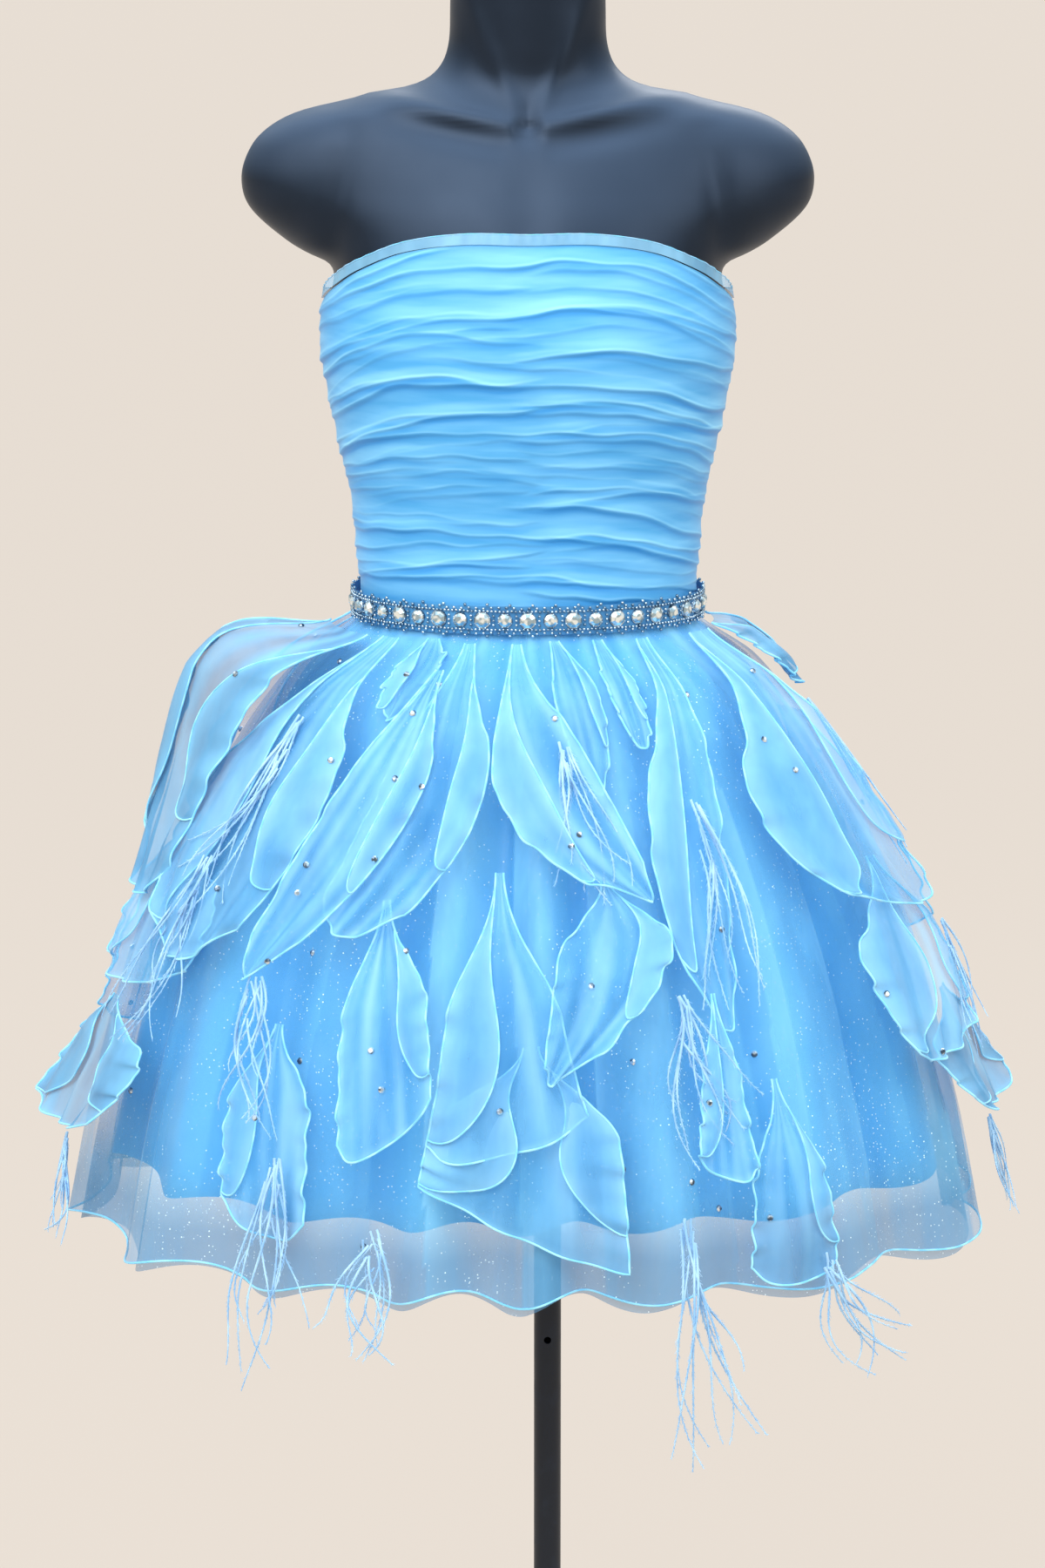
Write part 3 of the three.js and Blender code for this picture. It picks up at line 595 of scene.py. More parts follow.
def satin_cloth(name, colour, dark):
    """Polyester satin: long floats lie side by side, so it is smooth and softly glossy."""
    material, tree, shader = new_material(name)
    # The satin is painted darker where the shade value is low, in the folds' valleys: painted shade.
    body = blend(tree, painted_light_and_layers_of(tree), dark, colour)
    gloss = in_range(tree, cloudy(tree, 60), 0.3, 0.7, 0.34, 0.46)
    wire(tree, shader, Base_Color=body, Roughness=gloss, Sheen_Weight=0.15)
    bump(tree, shader, cloudy(tree, 22, 2.0), 0.15, 1.5)
    return material


def glitter(tree, spacing_mm, kept):
    """Single flakes, about 1 mm across and so far apart. kept is the share of them that is there."""
    place, scale = object_place(tree), 1000 / spacing_mm
    cells = add_node(tree, "ShaderNodeTexVoronoi", {"feature": "F1"}, Vector=place, Scale=scale)
    near = in_range(tree, cells.outputs["Distance"], 0.4 / spacing_mm, 0.62 / spacing_mm, 1.0, 0.0)
    chosen = add_node(tree, "ShaderNodeSeparateColor", Color=cells.outputs["Color"])
    return calculated(tree, "MULTIPLY", near, in_range(tree, chosen.outputs[0], 1 - kept, 1.04 - kept))


def glitter_tulle(name, colour, dark, flake, cover):
    """Fine net with glued glitter: pale flakes about 1 mm across lie on a grey blue haze."""
    material, tree, shader = new_material(name)
    glint = glitter(tree, 3.0, 0.5)
    haze = blend(tree, in_range(tree, cloudy(tree, 45), 0.35, 0.7), dark, colour)
    # Below the lining the haze turns a darker grey blue: painted shade.
    painted_hem_shade = calculated(tree, "MULTIPLY", below_lining(tree), 0.75)
    haze = blend(tree, painted_hem_shade, haze, srgb("#5a88aa"))
    net = calculated(tree, "ADD", cover, calculated(tree, "MULTIPLY", below_lining(tree), 0.4))
    wire(
        tree,
        shader,
        Base_Color=blend(tree, glint, haze, flake),
        Alpha=calculated(tree, "MAXIMUM", glint, net),
        Roughness=in_range(tree, glint, 0, 1, 0.5, 0.15),
    )
    return material


def rolled_edge(name, colour):
    """A rolled edge is oversewn with polyester thread, so it is dense and bright."""
    material, tree, shader = new_material(name)
    # The thread's sheen changes in soft bands, about 20 mm apart, that run askew over the edge.
    kind, settings = "ShaderNodeTexWave", {"bands_direction": "DIAGONAL"}
    bands = add_node(tree, kind, settings, Vector=object_place(tree), Scale=31.25, Distortion=1.0)
    share = in_range(tree, bands.outputs["Fac"], 0.2, 0.8)
    body = blend(tree, share, srgb("#7fd0f5"), colour)
    wire(tree, shader, Base_Color=body, Roughness=0.4, Sheen_Weight=0.3)
    return material


def patched(name, size_mm, detail, edges, first, second, **inputs):
    """A material with patches of two colours. edges say how softly one goes over into the other."""
    material, tree, shader = new_material(name)
    patches = in_range(tree, cloudy(tree, size_mm, detail), *edges)
    wire(tree, shader, Base_Color=blend(tree, patches, first, second), **inputs)
    return material


def ostrich_feather(name, colour, grey):
    """Stripped ostrich feather: a pale quill with soft barbs, dyed unevenly."""
    return patched(name, 16, 3.0, (0.4, 0.62), grey, colour, Roughness=0.65, Sheen_Weight=0.4)


def cut_crystal(name, pale, grey):
    """Foiled cut glass: each flat facet mirrors another part of the room."""
    # The grey and pale patches are painted reflection.
    return patched(name, 3.2, 0.0, (0.42, 0.58), grey, pale, Metallic=0.85, Roughness=0.08)


def plated_bead(name, pale, grey):
    """Silver plated glass beads: small, round and bright, dulled to grey in places."""
    return patched(name, 4.0, 1.0, (0.4, 0.6), grey, pale, Metallic=1.0, Roughness=0.22)


def moulded_plastic(name, colour):
    """Satin black moulded plastic: broad soft highlights, a faint grain and light dust."""
    material, tree, shader = new_material(name)
    scuffed = blend(tree, in_range(tree, cloudy(tree, 70, 4.0), 0.45, 0.75), colour, srgb("#161c26"))
    # Faces that turn upwards are painted a paler slate blue: painted light from above.
    facing = add_node(tree, "ShaderNodeNewGeometry").outputs["Normal"]
    upwards = add_node(tree, "ShaderNodeSeparateXYZ", Vector=facing).outputs["Z"]
    painted_top_light = in_range(tree, upwards, 0.05, 0.75, 0.0, 0.7)
    gloss = in_range(tree, cloudy(tree, 30, 3.0), 0.3, 0.7, 0.38, 0.45)
    wire(tree, shader, Base_Color=blend(tree, painted_top_light, scuffed, srgb("#3f4f66")), Roughness=gloss)
    wire(tree, shader, Specular_IOR_Level=0.42, Specular_Tint=with_alpha(srgb("#b9d2f5")))
    # The mould's grain is about 0.8 mm.
    bump(tree, shader, cloudy(tree, 0.8, 1.0), 0.08, 0.05)
    return material


def powder_coat(name, colour):
    """Powder coated steel: a fine orange peel of about 1.2 mm under a half gloss."""
    material, tree, shader = new_material(name)
    scuffs = in_range(tree, cloudy(tree, 12, 4.0), 0.5, 0.8)
    gloss = in_range(tree, scuffs, 0, 1, 0.42, 0.55)
    body = blend(tree, scuffs, colour, srgb("#1e242f"))
    wire(tree, shader, Base_Color=body, Roughness=gloss, Specular_IOR_Level=0.35)
    bump(tree, shader, cloudy(tree, 1.2, 1.0), 0.15, 0.08)
    return material


# ---------- display form and stand ----------

ROUND_STEPS = 360
FORM_COLUMNS = 208
FORM_ROWS = 250

# Raised and hollow lines of the form, on both sides: their ends, width and height, in millimetres.
COLLARBONE = {"start": (13, 325), "end": (112, 343), "width": 5.5, "height": 3.6}
UNDER_COLLARBONE = {"start": (20, 313), "end": (88, 326), "width": 8, "height": -2.2}
ARM_CREASE = {"start": (133, 226), "end": (121, 322), "width": 9, "height": -3.2}
THROAT = {"start": (0, 322), "end": (0, 331), "width": 8, "height": -4.5}
NECK_CORD = {"start": (7, 330), "end": (38, 405), "width": 6, "height": 1.4}
CHEST_MIDDLE = {"start": (0, 235), "end": (0, 312), "width": 16, "height": -1.6}


def line_height(line, across, rise):
    """How far a raised or hollow line lifts the surface at this place."""
    start, end = Vector(line["start"]), Vector(line["end"])
    along = end - start
    here = Vector((abs(across), rise))
    share = min(1.0, max(0.0, (here - start).dot(along) / along.length_squared))
    distance = (here - start - along * share).length
    fading = 0.55 + 0.45 * math.sin(math.pi * min(1.0, share + 0.1))
    return line["height"] * fading * math.exp(-((distance / line["width"]) ** 2))


def make_form():
    low, high = FIGURE[0]["rise"], FIGURE[-1]["rise"]

    def place(u, v):
        angle, rise = 2 * math.pi * u, lerp(low, high, v)
        return at(angle, figure_reach(rise, angle), rise)

    bm = cloth_grid(FORM_COLUMNS, FORM_ROWS, place, wraps=True)
    rims = [edge for edge in bm.edges if edge.is_boundary]
    bmesh.ops.holes_fill(bm, edges=rims, sides=0)
    bm.normal_update()
    axes = {"use_axis_x": True, "use_axis_y": True, "use_axis_z": True}
    for _ in range(2):
        bmesh.ops.smooth_vert(bm, verts=bm.verts, factor=0.5, **axes)
    bm.normal_update()
    lines = (COLLARBONE, UNDER_COLLARBONE, ARM_CREASE, THROAT, NECK_CORD, CHEST_MIDDLE)
    moves = {}
    for vert in bm.verts:
        across = vert.co.x / MM - FORM_BESIDE_POLE
        rise = vert.co.z / MM - WAIST_HEIGHT
        in_front = smooth(-vert.co.y / MM, -30, 10)
        lift = sum(line_height(line, across, rise) for line in lines) * in_front
        moves[vert] = vert.normal * lift * MM
    for vert, move in moves.items():
        vert.co += move
    for face in bm.faces:
        face.smooth = len(face.verts) < 5
    colour = bpy.context.scene.dress_colours.form
    material = moulded_plastic("satin black moulded plastic", colour)
    finished(bm, "display_form", material, ["form_torso"], "form_plastic")


def make_stand():
    steel = powder_coat("black powder coated steel", bpy.context.scene.dress_colours.steel)
    edge = BASE_EDGE
    arc = [
        (BASE_RADIUS - edge * (1 - math.sin(a)), BASE_THICKNESS - edge * (1 - math.cos(a)))
        for a in (math.pi / 2 * n / 6 for n in range(6, -1, -1))
    ]
    base = [(0, 0), (BASE_RADIUS - 0.6, 0), (BASE_RADIUS, 0.6), *arc, (0, BASE_THICKNESS)]
    finished(smoothed(turned(base, 160)), "stand_base_plate", steel, ["stand_base"], "stand_steel")

    top_of_socket = WAIST_HEIGHT + FIGURE[0]["rise"] - GAP
    under = top_of_socket - SOCKET["flange"]
    bottom = top_of_socket + GAP - SOCKET["length"]
    bore = POLE_RADIUS + GAP
    collar = [
        (0, under),
        (bore, under),
        (bore, bottom),
        (SOCKET["neck"] - 0.8, bottom),
        (SOCKET["neck"], bottom + 0.8),
        (SOCKET["neck"], under - SOCKET["shoulder"]),
        (SOCKET["radius"] - 0.6, under),
        (SOCKET["radius"], under + 0.6),
        (SOCKET["radius"], top_of_socket),
        (0, top_of_socket),
    ]
    finished(smoothed(turned(collar, 96)), "form_socket", steel, ["stand_socket"], "stand_steel")

    low, high = BASE_THICKNESS + GAP, under - GAP
    inner = POLE_RADIUS - POLE_WALL
    wall = [(POLE_RADIUS, low), (POLE_RADIUS, high), (inner, high), (inner, low), (POLE_RADIUS, low)]
    pole = finished(smoothed(turned(wall, 96)), "pole", steel, ["stand_pole"], "stand_steel")
    drill = bmesh.new()
    hole = PIN_HOLE["radius"] * MM
    front = Matrix.Translation(Vector((0, -POLE_RADIUS, PIN_HOLE["height"])) * MM)
    forwards = Matrix.Rotation(math.pi / 2, 4, "X")
    add_cone(drill, 40, hole, hole, 2 * POLE_RADIUS * MM, front @ forwards)
    cut_away(pole, drill)


def smoothed(bm):
    for face in bm.faces:
        face.smooth = True
    for edge in bm.edges:
        edge.smooth = len(edge.link_faces) < 2 or edge.calc_face_angle(0) < math.radians(30)
    return bm


def cut_away(piece, cutter_bm):
    """Cuts the cutter's shape out of the piece's own mesh."""
    mesh = bpy.data.meshes.new("cutter")
    cutter_bm.to_mesh(mesh)
    cutter_bm.free()
    cutter = bpy.data.objects.new("cutter", mesh)
    bpy.context.scene.collection.objects.link(cutter)
    modifier = piece.modifiers.new("cut", "BOOLEAN")
    modifier.object = cutter
    modifier.solver = "EXACT"
    graph = bpy.context.evaluated_depsgraph_get()
    cut = bpy.data.meshes.new_from_object(piece.evaluated_get(graph))
    piece.modifiers.clear()
    piece.data = cut
    bpy.data.objects.remove(cutter)


# ---------- bodice, binding and belt ----------


# The bodice's folds. Widths and rises are shares of its height, and starts are angles in radians. A long
# fold runs from the centre front round one side, every fourth one runs right across, and short ones lie
# between them.
FOLDS_SEED = 77
ACROSS_EVERY = 4
LONG_FOLD = {"uneven": 0.32, "apart": 0.4, "slope": 1.0, "bow": (-0.7, 1.5), "height": (0.3, 1.05)}
LONG_FOLD_START = (-0.1, 0.12)
SHORT_FOLD = {"for_each": 3, "middle": 2.9, "slope": 1.2, "height": (0.2, 0.7), "reach": 0.5}
SHORT_FOLD_SEED = 500


def fold_families():
    """The bodice's folds: each has its own line, which wanders round the form, and its own reach."""
    chance = random.Random(FOLDS_SEED)
    count = bpy.context.scene.dress_sizes.bodice_folds
    folds = []
    for n in range(count):
        rise = (n + 0.5 + chance.uniform(-LONG_FOLD["uneven"], LONG_FOLD["uneven"])) / count
        for side in (0,) if n % ACROSS_EVERY == 1 else (-1, 1):
            folds.append(
                {
                    "kind": "long" if side else "across",
                    "rise": rise + LONG_FOLD["apart"] / count * side * chance.uniform(0.2, 1),
                    "side": side,
                    "start": chance.uniform(*LONG_FOLD_START),
                    "slope": chance.uniform(-LONG_FOLD["slope"], LONG_FOLD["slope"]) / count,
                    "bow": chance.uniform(*LONG_FOLD["bow"]) / count,
                    "height": chance.uniform(*LONG_FOLD["height"]),
                    "seed": 10 * n + side,
                }
            )
    for n in range(SHORT_FOLD["for_each"] * count):
        folds.append(
            {
                "kind": "short",
                "start": chance.uniform(-SHORT_FOLD["middle"], SHORT_FOLD["middle"]),
                "rise": chance.random(),
                "slope": chance.uniform(-SHORT_FOLD["slope"], SHORT_FOLD["slope"]) / count,
                "bow": 0,
                "height": chance.uniform(*SHORT_FOLD["height"]),
                "seed": SHORT_FOLD_SEED + n,
            }
        )
    return folds


# How a fold's line wanders, and how its height changes along it: shares, and turns of noise to a radian.
FOLD_WANDER = {"wide": 0.022, "wide_turns": 1.3, "fine": 0.012, "fine_turns": 3.2}
FOLD_STRENGTH = {"usual": 0.72, "change": 0.5, "turns": 1.7}
FOLD_FADE = {"before": 0.2, "after": 0.12}


def fold_line(fold, angle):
    """Where a fold's crest runs, as a share of the bodice's height, and how strong it is there."""
    across = math.sin(angle / 2)
    rise = fold["rise"] + fold["slope"] * 2 * across + fold["bow"] * math.cos(angle)
    rise += FOLD_WANDER["wide"] * soft_noise(angle * FOLD_WANDER["wide_turns"], fold["rise"] * 5, 4.4)
    rise += FOLD_WANDER["fine"] * soft_noise(angle * FOLD_WANDER["fine_turns"], fold["seed"], 8.1)
    if fold["kind"] == "long":
        start = fold["start"]
        kept = smooth(fold["side"] * angle, start - FOLD_FADE["before"], start + FOLD_FADE["after"])
    elif fold["kind"] == "short":
        kept = math.exp(-(((angle - fold["start"]) / SHORT_FOLD["reach"]) ** 2))
    else:
        kept = 1.0
    change = soft_noise(angle * FOLD_STRENGTH["turns"], fold["seed"] * 1.9, 1.3)
    return rise, kept * fold["height"] * (FOLD_STRENGTH["usual"] + FOLD_STRENGTH["change"] * change)


# A fold's section: how far it slopes above and below its crest, and the bands of light and shade on it.
FOLD_SLOPE = {"above": 0.03, "above_power": 1.4, "below": 0.009}
FOLD_BAND = {"below": 0.035, "above": 0.1}
FOLD_SHADES = table("at width share", (0.002, 0.004, 0.8), (0.018, 0.014, 0.3), (-0.013, 0.0105, -0.8))
FAINTEST_FOLD = 0.03


def folds_over(angle, rows):
    """The folds up one line of the bodice: their height, and their shade from hollow (-1) to crest (1)."""
    heights = [0.0] * (rows + 1)
    shades = [0.0] * (rows + 1)
    for fold in FOLD_FAMILIES:
        rise, strength = fold_line(fold, angle)
        if strength < FAINTEST_FOLD:
            continue
        first = max(0, round((rise - FOLD_BAND["below"]) * rows))
        last = min(rows, round((rise + FOLD_BAND["above"]) * rows))
        for row in range(first, last + 1):
            above = row / rows - rise
            if above > 0:
                slope = math.exp(-((above / FOLD_SLOPE["above"]) ** FOLD_SLOPE["above_power"]))
            else:
                slope = math.exp(-((above / FOLD_SLOPE["below"]) ** 2))
            heights[row] = max(heights[row], strength * slope)
            shade = sum(
                band["share"] * math.exp(-(((above - band["at"]) / band["width"]) ** 2))
                for band in FOLD_SHADES
            )
            shades[row] = max(-1.0, min(1.0, shades[row] + strength * shade))
    return heights, shades


FOLD_FAMILIES = []
BODICE_ROWS = 320
# The bodice's panels: where each starts and ends, in degrees, and how far it stops short of its seams.
BODICE_PANELS = table(
    "name start end columns",
    ("bodice_front", -90, 90, 260),
    ("bodice_back_right", 90, 180, 130),
    ("bodice_back_left", -180, -90, 130),
)
SEAM_GAP = 0.08


def make_bodice():
    sizes, colours = bpy.context.scene.dress_sizes, bpy.context.scene.dress_colours
    # The deep blue is painted shade for the hollows under the folds, and the pale blue a painted highlight
    # for their crests.
    cloth = ruched_organza("ruched silk organza", colours.bodice, srgb("#3590d2"), srgb("#96daf9"))
    height = sizes.fold_height / MM
    FOLD_FAMILIES.extend(fold_families())
    for panel in BODICE_PANELS:
        start, end, columns = panel["start"], panel["end"], panel["columns"]
        lines = {}

        def fold_at(u, v, which):
            column = round(u * columns)
            if column not in lines:
                lines[column] = folds_over(math.radians(lerp(start, end, column / columns)), BODICE_ROWS)
            return lines[column][which][round(v * BODICE_ROWS)]

        def place(u, v):
            angle = math.radians(lerp(start + SEAM_GAP, end - SEAM_GAP, u))
            edge = smooth(v, 0, 0.02) * (1 - smooth(v, 0.985, 1))
            rise = lerp(BODICE_BOTTOM, neckline_rise(angle), v)
            out = figure_reach(rise, angle) + BODICE_EASE + height * edge * fold_at(u, v, 0)
            return at(angle, out, rise)

        bm = cloth_grid(columns, BODICE_ROWS, place, crest=lambda u, v: fold_at(u, v, 1))
        piece = finished(bm, panel["name"] + "_ruched", cloth, [panel["name"]], "organza")
        as_sheet(place)


def make_binding():
    cloth = organza(
        "sheer organza binding", srgb("#9ad4f4"), srgb("#86c4ec"), srgb("#b4e4fa"), 0.62, 0.8
    )

    def place(u, v):
        angle = 2 * math.pi * u
        rise = neckline_rise(angle) + GAP + BINDING["height"] * v
        flute = BINDING["flute"] * math.sin(BINDING["flutes"] * angle) * v
        return at(angle, figure_reach(rise, angle) + BINDING["ease"] + flute, rise)

    strip = cloth_grid(ROUND_STEPS, 8, place, wraps=True)
    piece = finished(strip, "neck_binding_strip", cloth, ["neck_binding"], "organza")
    as_sheet(place, turnings=BINDING["turnings"] * MM)
    edge = [(place(n / ROUND_STEPS, 1.0), BINDING["thread"] * MM) for n in range(ROUND_STEPS + 1)]
    threads("neck_binding_edge", [edge], 6, rolled_edge("binding edge thread", srgb("#93c8ea")), "organza")


def frame_at(place, across, up, outwards):
    """A matrix at a place, with these as its X, Y and Z."""
    return Matrix.Translation(place) @ Matrix((across, up, outwards)).transposed().to_4x4()


def belt_frame(angle, rise, out):
    """A matrix at a place on the belt, with Z outwards and Y upwards."""
    here = at(angle, figure_reach(0, angle) + BELT["ease"] + out, rise)
    ahead = at(angle + 0.001, figure_reach(0, angle + 0.001) + BELT["ease"] + out, rise)
    across = (ahead - here).normalized()
    up = Vector((0, 0, 1))
    outwards = across.cross(up).normalized()
    return frame_at(here, across, up, outwards)


def belt_angles(count):
    """Angles that are evenly far apart along the belt."""
    steps = 2 * ROUND_STEPS
    turns = [2 * math.pi * n / steps for n in range(steps + 1)]
    places = [at(turn, figure_reach(0, turn) + BELT["ease"], 0) for turn in turns]
    run = [0.0]
    for a, b in zip(places, places[1:]):
        run.append(run[-1] + (b - a).length)
    angles, n = [], 0
    for k in range(count):
        want = run[-1] * k / count
        while run[n + 1] < want:
            n += 1
        angles.append(2 * math.pi * (n + (want - run[n]) / (run[n + 1] - run[n])) / steps)
    return angles


def add_cone(bm, sides, low, high, depth, matrix):
    bmesh.ops.create_cone(
        bm, cap_ends=True, segments=sides, radius1=low, radius2=high, depth=depth, matrix=matrix
    )


def add_gem(bm, matrix, radius, sides, height):
    """A cut stone: a girdle, a crown of flat facets and a flat table."""
    spun = matrix @ Matrix.Rotation(math.pi / sides, 4, "Z")
    girdle = spun @ Matrix.Translation((0, 0, 0.15 * height))
    add_cone(bm, sides, radius * 0.94, radius, 0.3 * height, girdle)
    crown = spun @ Matrix.Translation((0, 0, 0.6 * height))
    add_cone(bm, sides, radius, radius * 0.55, 0.6 * height, crown)


def pour_into(bm, part):
    """Moves a finished part's faces into a larger bmesh."""
    scrap = bpy.data.meshes.new("part")
    part.to_mesh(scrap)
    part.free()
    bm.from_mesh(scrap)
    bpy.data.meshes.remove(scrap)


# The belt's stones and their settings, in millimetres.
SQUARE_STONE = {"radius": 5.1, "sides": 8}
ROUND_STONE = {"radius": 4.3, "sides": 12}
STONE = {"out": 0.9, "height": 2.6}
SETTING = {"out": 0.6, "low": 0.9, "high": 0.5, "depth": 1.2}
GRAIN = {"count": 8, "radius": 0.55, "beside": 0.4, "out": 0.9}
# The rows of beads: how far they lie from the belt's middle and out from it, how uneven they are, how
# far they are turned round the belt, in radians, and how large the beads are.
BEADS_AT_ONCE = 12
BEAD_ROWS = table(
    "beads rise out uneven turn size",
    (250, 6.2, 1.0, 0.5, 0, 1),
    (132, 8.4, 1.0, 1.4, 0.01, 1),
    (44, 10.4, 0.8, 0.6, 0.035, 1.1),
)
BEADS_BETWEEN = {"rises": (-3.0, 0, 3.0), "out": 1.1, "uneven": 0.2}


def add_setting(settings, cup, radius):
    """A stone's cup with a ring of small grains round it."""
    setting = bmesh.new()
    low, high = radius + SETTING["low"] * MM, radius + SETTING["high"] * MM
    add_cone(setting, 20, low, high, SETTING["depth"] * MM, cup)
    for k in range(GRAIN["count"]):
        turn = 2 * math.pi * (k + 0.5) / GRAIN["count"]
        beside = Vector((math.cos(turn), math.sin(turn), 0)) * (radius + GRAIN["beside"] * MM)
        grain = cup @ Matrix.Translation(beside) @ Matrix.Translation((0, 0, GRAIN["out"] * MM))
        bmesh.ops.create_icosphere(setting, subdivisions=1, radius=GRAIN["radius"] * MM, matrix=grain)
    pour_into(settings, setting)


def add_beads(small, angles, rise, out, radius, uneven, turn=0):
    """A row of beads along the belt, made a few at a time because that is quick."""
    row = bmesh.new()
    for n, angle in enumerate(angles):
        shift = uneven * soft_noise(n * 1.37, rise, turn)
        place = belt_frame(angle + turn, rise + shift, out)
        bmesh.ops.create_icosphere(row, subdivisions=2, radius=radius, matrix=place)
        if n % BEADS_AT_ONCE == BEADS_AT_ONCE - 1 or n == len(angles) - 1:
            pour_into(small, row)
            row = bmesh.new()
    row.free()


def make_belt():
    sizes = bpy.context.scene.dress_sizes
    beads = plated_bead("silver plated beads", srgb("#c3d5e2"), srgb("#748c9f"))
    bottom, top = BELT["bottom"], BELT["bottom"] + BELT["height"]

    def strip_place(u, v):
        angle = 2 * math.pi * u
        return at(angle, figure_reach(0, angle) + BELT["ease"], lerp(bottom, top, v))

    net = organza("belt backing net", srgb("#4f94c6"), srgb("#407fb2"), srgb("#6fb2de"), 1.0, 1.0)
    backing = cloth_grid(ROUND_STEPS, 6, strip_place, wraps=True)
    strip = finished(backing, "belt_backing", net, ["jewelled_belt"], "crystal")
    as_sheet(strip_place)

    middle = (bottom + top) / 2
    gems, settings, small = bmesh.new(), bmesh.new(), bmesh.new()
    for n, angle in enumerate(belt_angles(sizes.stones)):
        stone = SQUARE_STONE if n % 2 == 0 else ROUND_STONE
        radius = stone["radius"] * MM
        place = belt_frame(angle, middle, STONE["out"])
        add_gem(gems, place, radius, stone["sides"], STONE["height"] * MM)
        add_setting(settings, belt_frame(angle, middle, SETTING["out"]), radius)
    for row in BEAD_ROWS:
        radius = sizes.bead_radius * row["size"]
        for side in (-1, 1):
            rise = middle + side * row["rise"]
            add_beads(small, belt_angles(row["beads"]), rise, row["out"], radius, row["uneven"], row["turn"])
    between = belt_angles(2 * sizes.stones)[1::2]
    for rise in BEADS_BETWEEN["rises"]:
        out, uneven = BEADS_BETWEEN["out"], BEADS_BETWEEN["uneven"]
        add_beads(small, between, middle + rise, out, sizes.bead_radius, uneven)
    for face in small.faces:
        face.smooth = True
    # The crystal's pale and grey colours are painted reflection.
    crystal = cut_crystal("foiled cut crystal", srgb("#fbfdf6"), srgb("#a9bdc4"))
    finished(gems, "belt_stones", crystal, (), "crystal")
    finished(settings, "belt_settings", beads, (), "crystal")
    finished(small, "belt_beads", beads, (), "crystal")


# ---------- skirt ----------

SKIRT_COLUMNS = 640
SKIRT_ROWS = 110


# The outer layer's gathers at the waist, and the small creases of all layers, which grow downwards.
GATHERS = 40
CREASE = {"depth": 2.2, "half_turns": 26, "length": 160, "from": 60, "to": 420}


def layer_point(layer, u, v):
    """A place on a skirt layer. v is 0 at the hem and 1 at the waist."""
    angle = 2 * math.pi * u
    longest = layer["hem"] + layer["wave"] * fold_wave(angle + FOLD["hem_lag"])
    drop = lerp(longest, SKIRT_TOP, v)
    row = SKIRT_AT.at(drop)
    gather = row["gather"] * (0.5 + 0.5 * math.sin(GATHERS * angle)) if layer["share"] == 1.0 else 0
    fold = layer["share"] * row["fold"] * fold_wave(angle)
    low = smooth(drop, CREASE["from"], CREASE["to"])
    uneven = soft_noise(CREASE["half_turns"] * u * math.pi, drop / CREASE["length"], layer["hem"])
    crease = CREASE["depth"] * low * layer["share"] * uneven
    back = lerp(layer["waist"], layer["low"], smooth(drop, 0, LAYERS_PART_BY))
    return at(angle, section_reach(row, angle) + fold + gather + crease - back, -drop)


# The panels of doubled cloth, in two families that run round the skirt in opposite directions.
PANELS = table("count seed turn share", (17, 2.2, 1, 1.0), (25, 7.1, -1, 0.7))


def panel_shade(angle, v, panels, seed):
    """Where the cloth overlaps itself: bright from one sharp edge on, and fading across the panel."""
    wander = 0.8 * soft_noise(1.6 * math.cos(angle), 1.6 * math.sin(angle), seed + 0.5 * v)
    place = panels * angle / (2 * math.pi) + wander
    own = soft_noise(math.floor(place) * 3.7 + seed, 0.3, seed)
    return (1 - (place - math.floor(place))) ** 1.3 * min(1.0, max(0.1, 0.7 + 1.8 * own))


def skirt_shade(u, v, seed=0.0):
    """Folds catch the light at their crests, and the gathers fade out below the waist."""
    angle = 2 * math.pi * u
    fold = 0.5 + 0.5 * fold_wave(angle)
    panels = max(
        family["share"] * panel_shade(family["turn"] * angle, v, family["count"], family["seed"] + seed)
        for family in PANELS
    )
    # The fold term is a painted highlight, and the panels are doubled cloth.
    hanging = 0.3 * fold**1.3 + 0.75 * panels
    gathers = 0.5 + 0.9 * soft_noise(34 * angle / math.pi, 0.8 * v, 3)
    return min(1.0, max(0.0, lerp(hanging, gathers, smooth(v, 0.72, 0.99))))


def make_skirt():
    colours = bpy.context.scene.dress_colours
    # The pale blue is the organza at fold crests and doubled panels, partly painted highlight.
    dark, light = srgb("#50b2ec"), srgb("#90d6f8")
    finishes = {
        "organza": organza("sheer silk organza", colours.organza, dark, light, 0.12, 0.56, glitters=True),
        "tulle": glitter_tulle("glitter tulle", colours.tulle, srgb("#79b8de"), srgb("#ecf9fc"), 0.2),
        # The satin's deep blue is painted shade in the folds' valleys.
        "satin": satin_cloth("sky blue satin", colours.satin, srgb("#2fa2ea")),
    }
    for layer in LAYERS:

        def place(u, v):
            return layer_point(layer, u, v)

        def crest(u, v):
            return skirt_shade(u, v, layer["waist"])

        bm = cloth_grid(SKIRT_COLUMNS, SKIRT_ROWS, place, wraps=True, crest=crest)
        finish = layer["finish"]
        piece = finished(bm, layer["name"] + "_layer", finishes[finish], [layer["name"]], finish)
        as_sheet(place, grain=(600, 60))
    radius = bpy.context.scene.dress_sizes.piping_radius
    hem = [(layer_point(LAYERS[0], n / SKIRT_COLUMNS, 0), radius) for n in range(SKIRT_COLUMNS + 1)]
    threads("skirt_hem_edge", [hem], 6, rolled_edge("hem thread", colours.piping), "organza")


# ---------- ruffles ----------

RUFFLE_ROWS = 60
RUFFLE_COLUMNS = 30
LOBE_ROWS = 36
LOBE_COLUMNS = 8

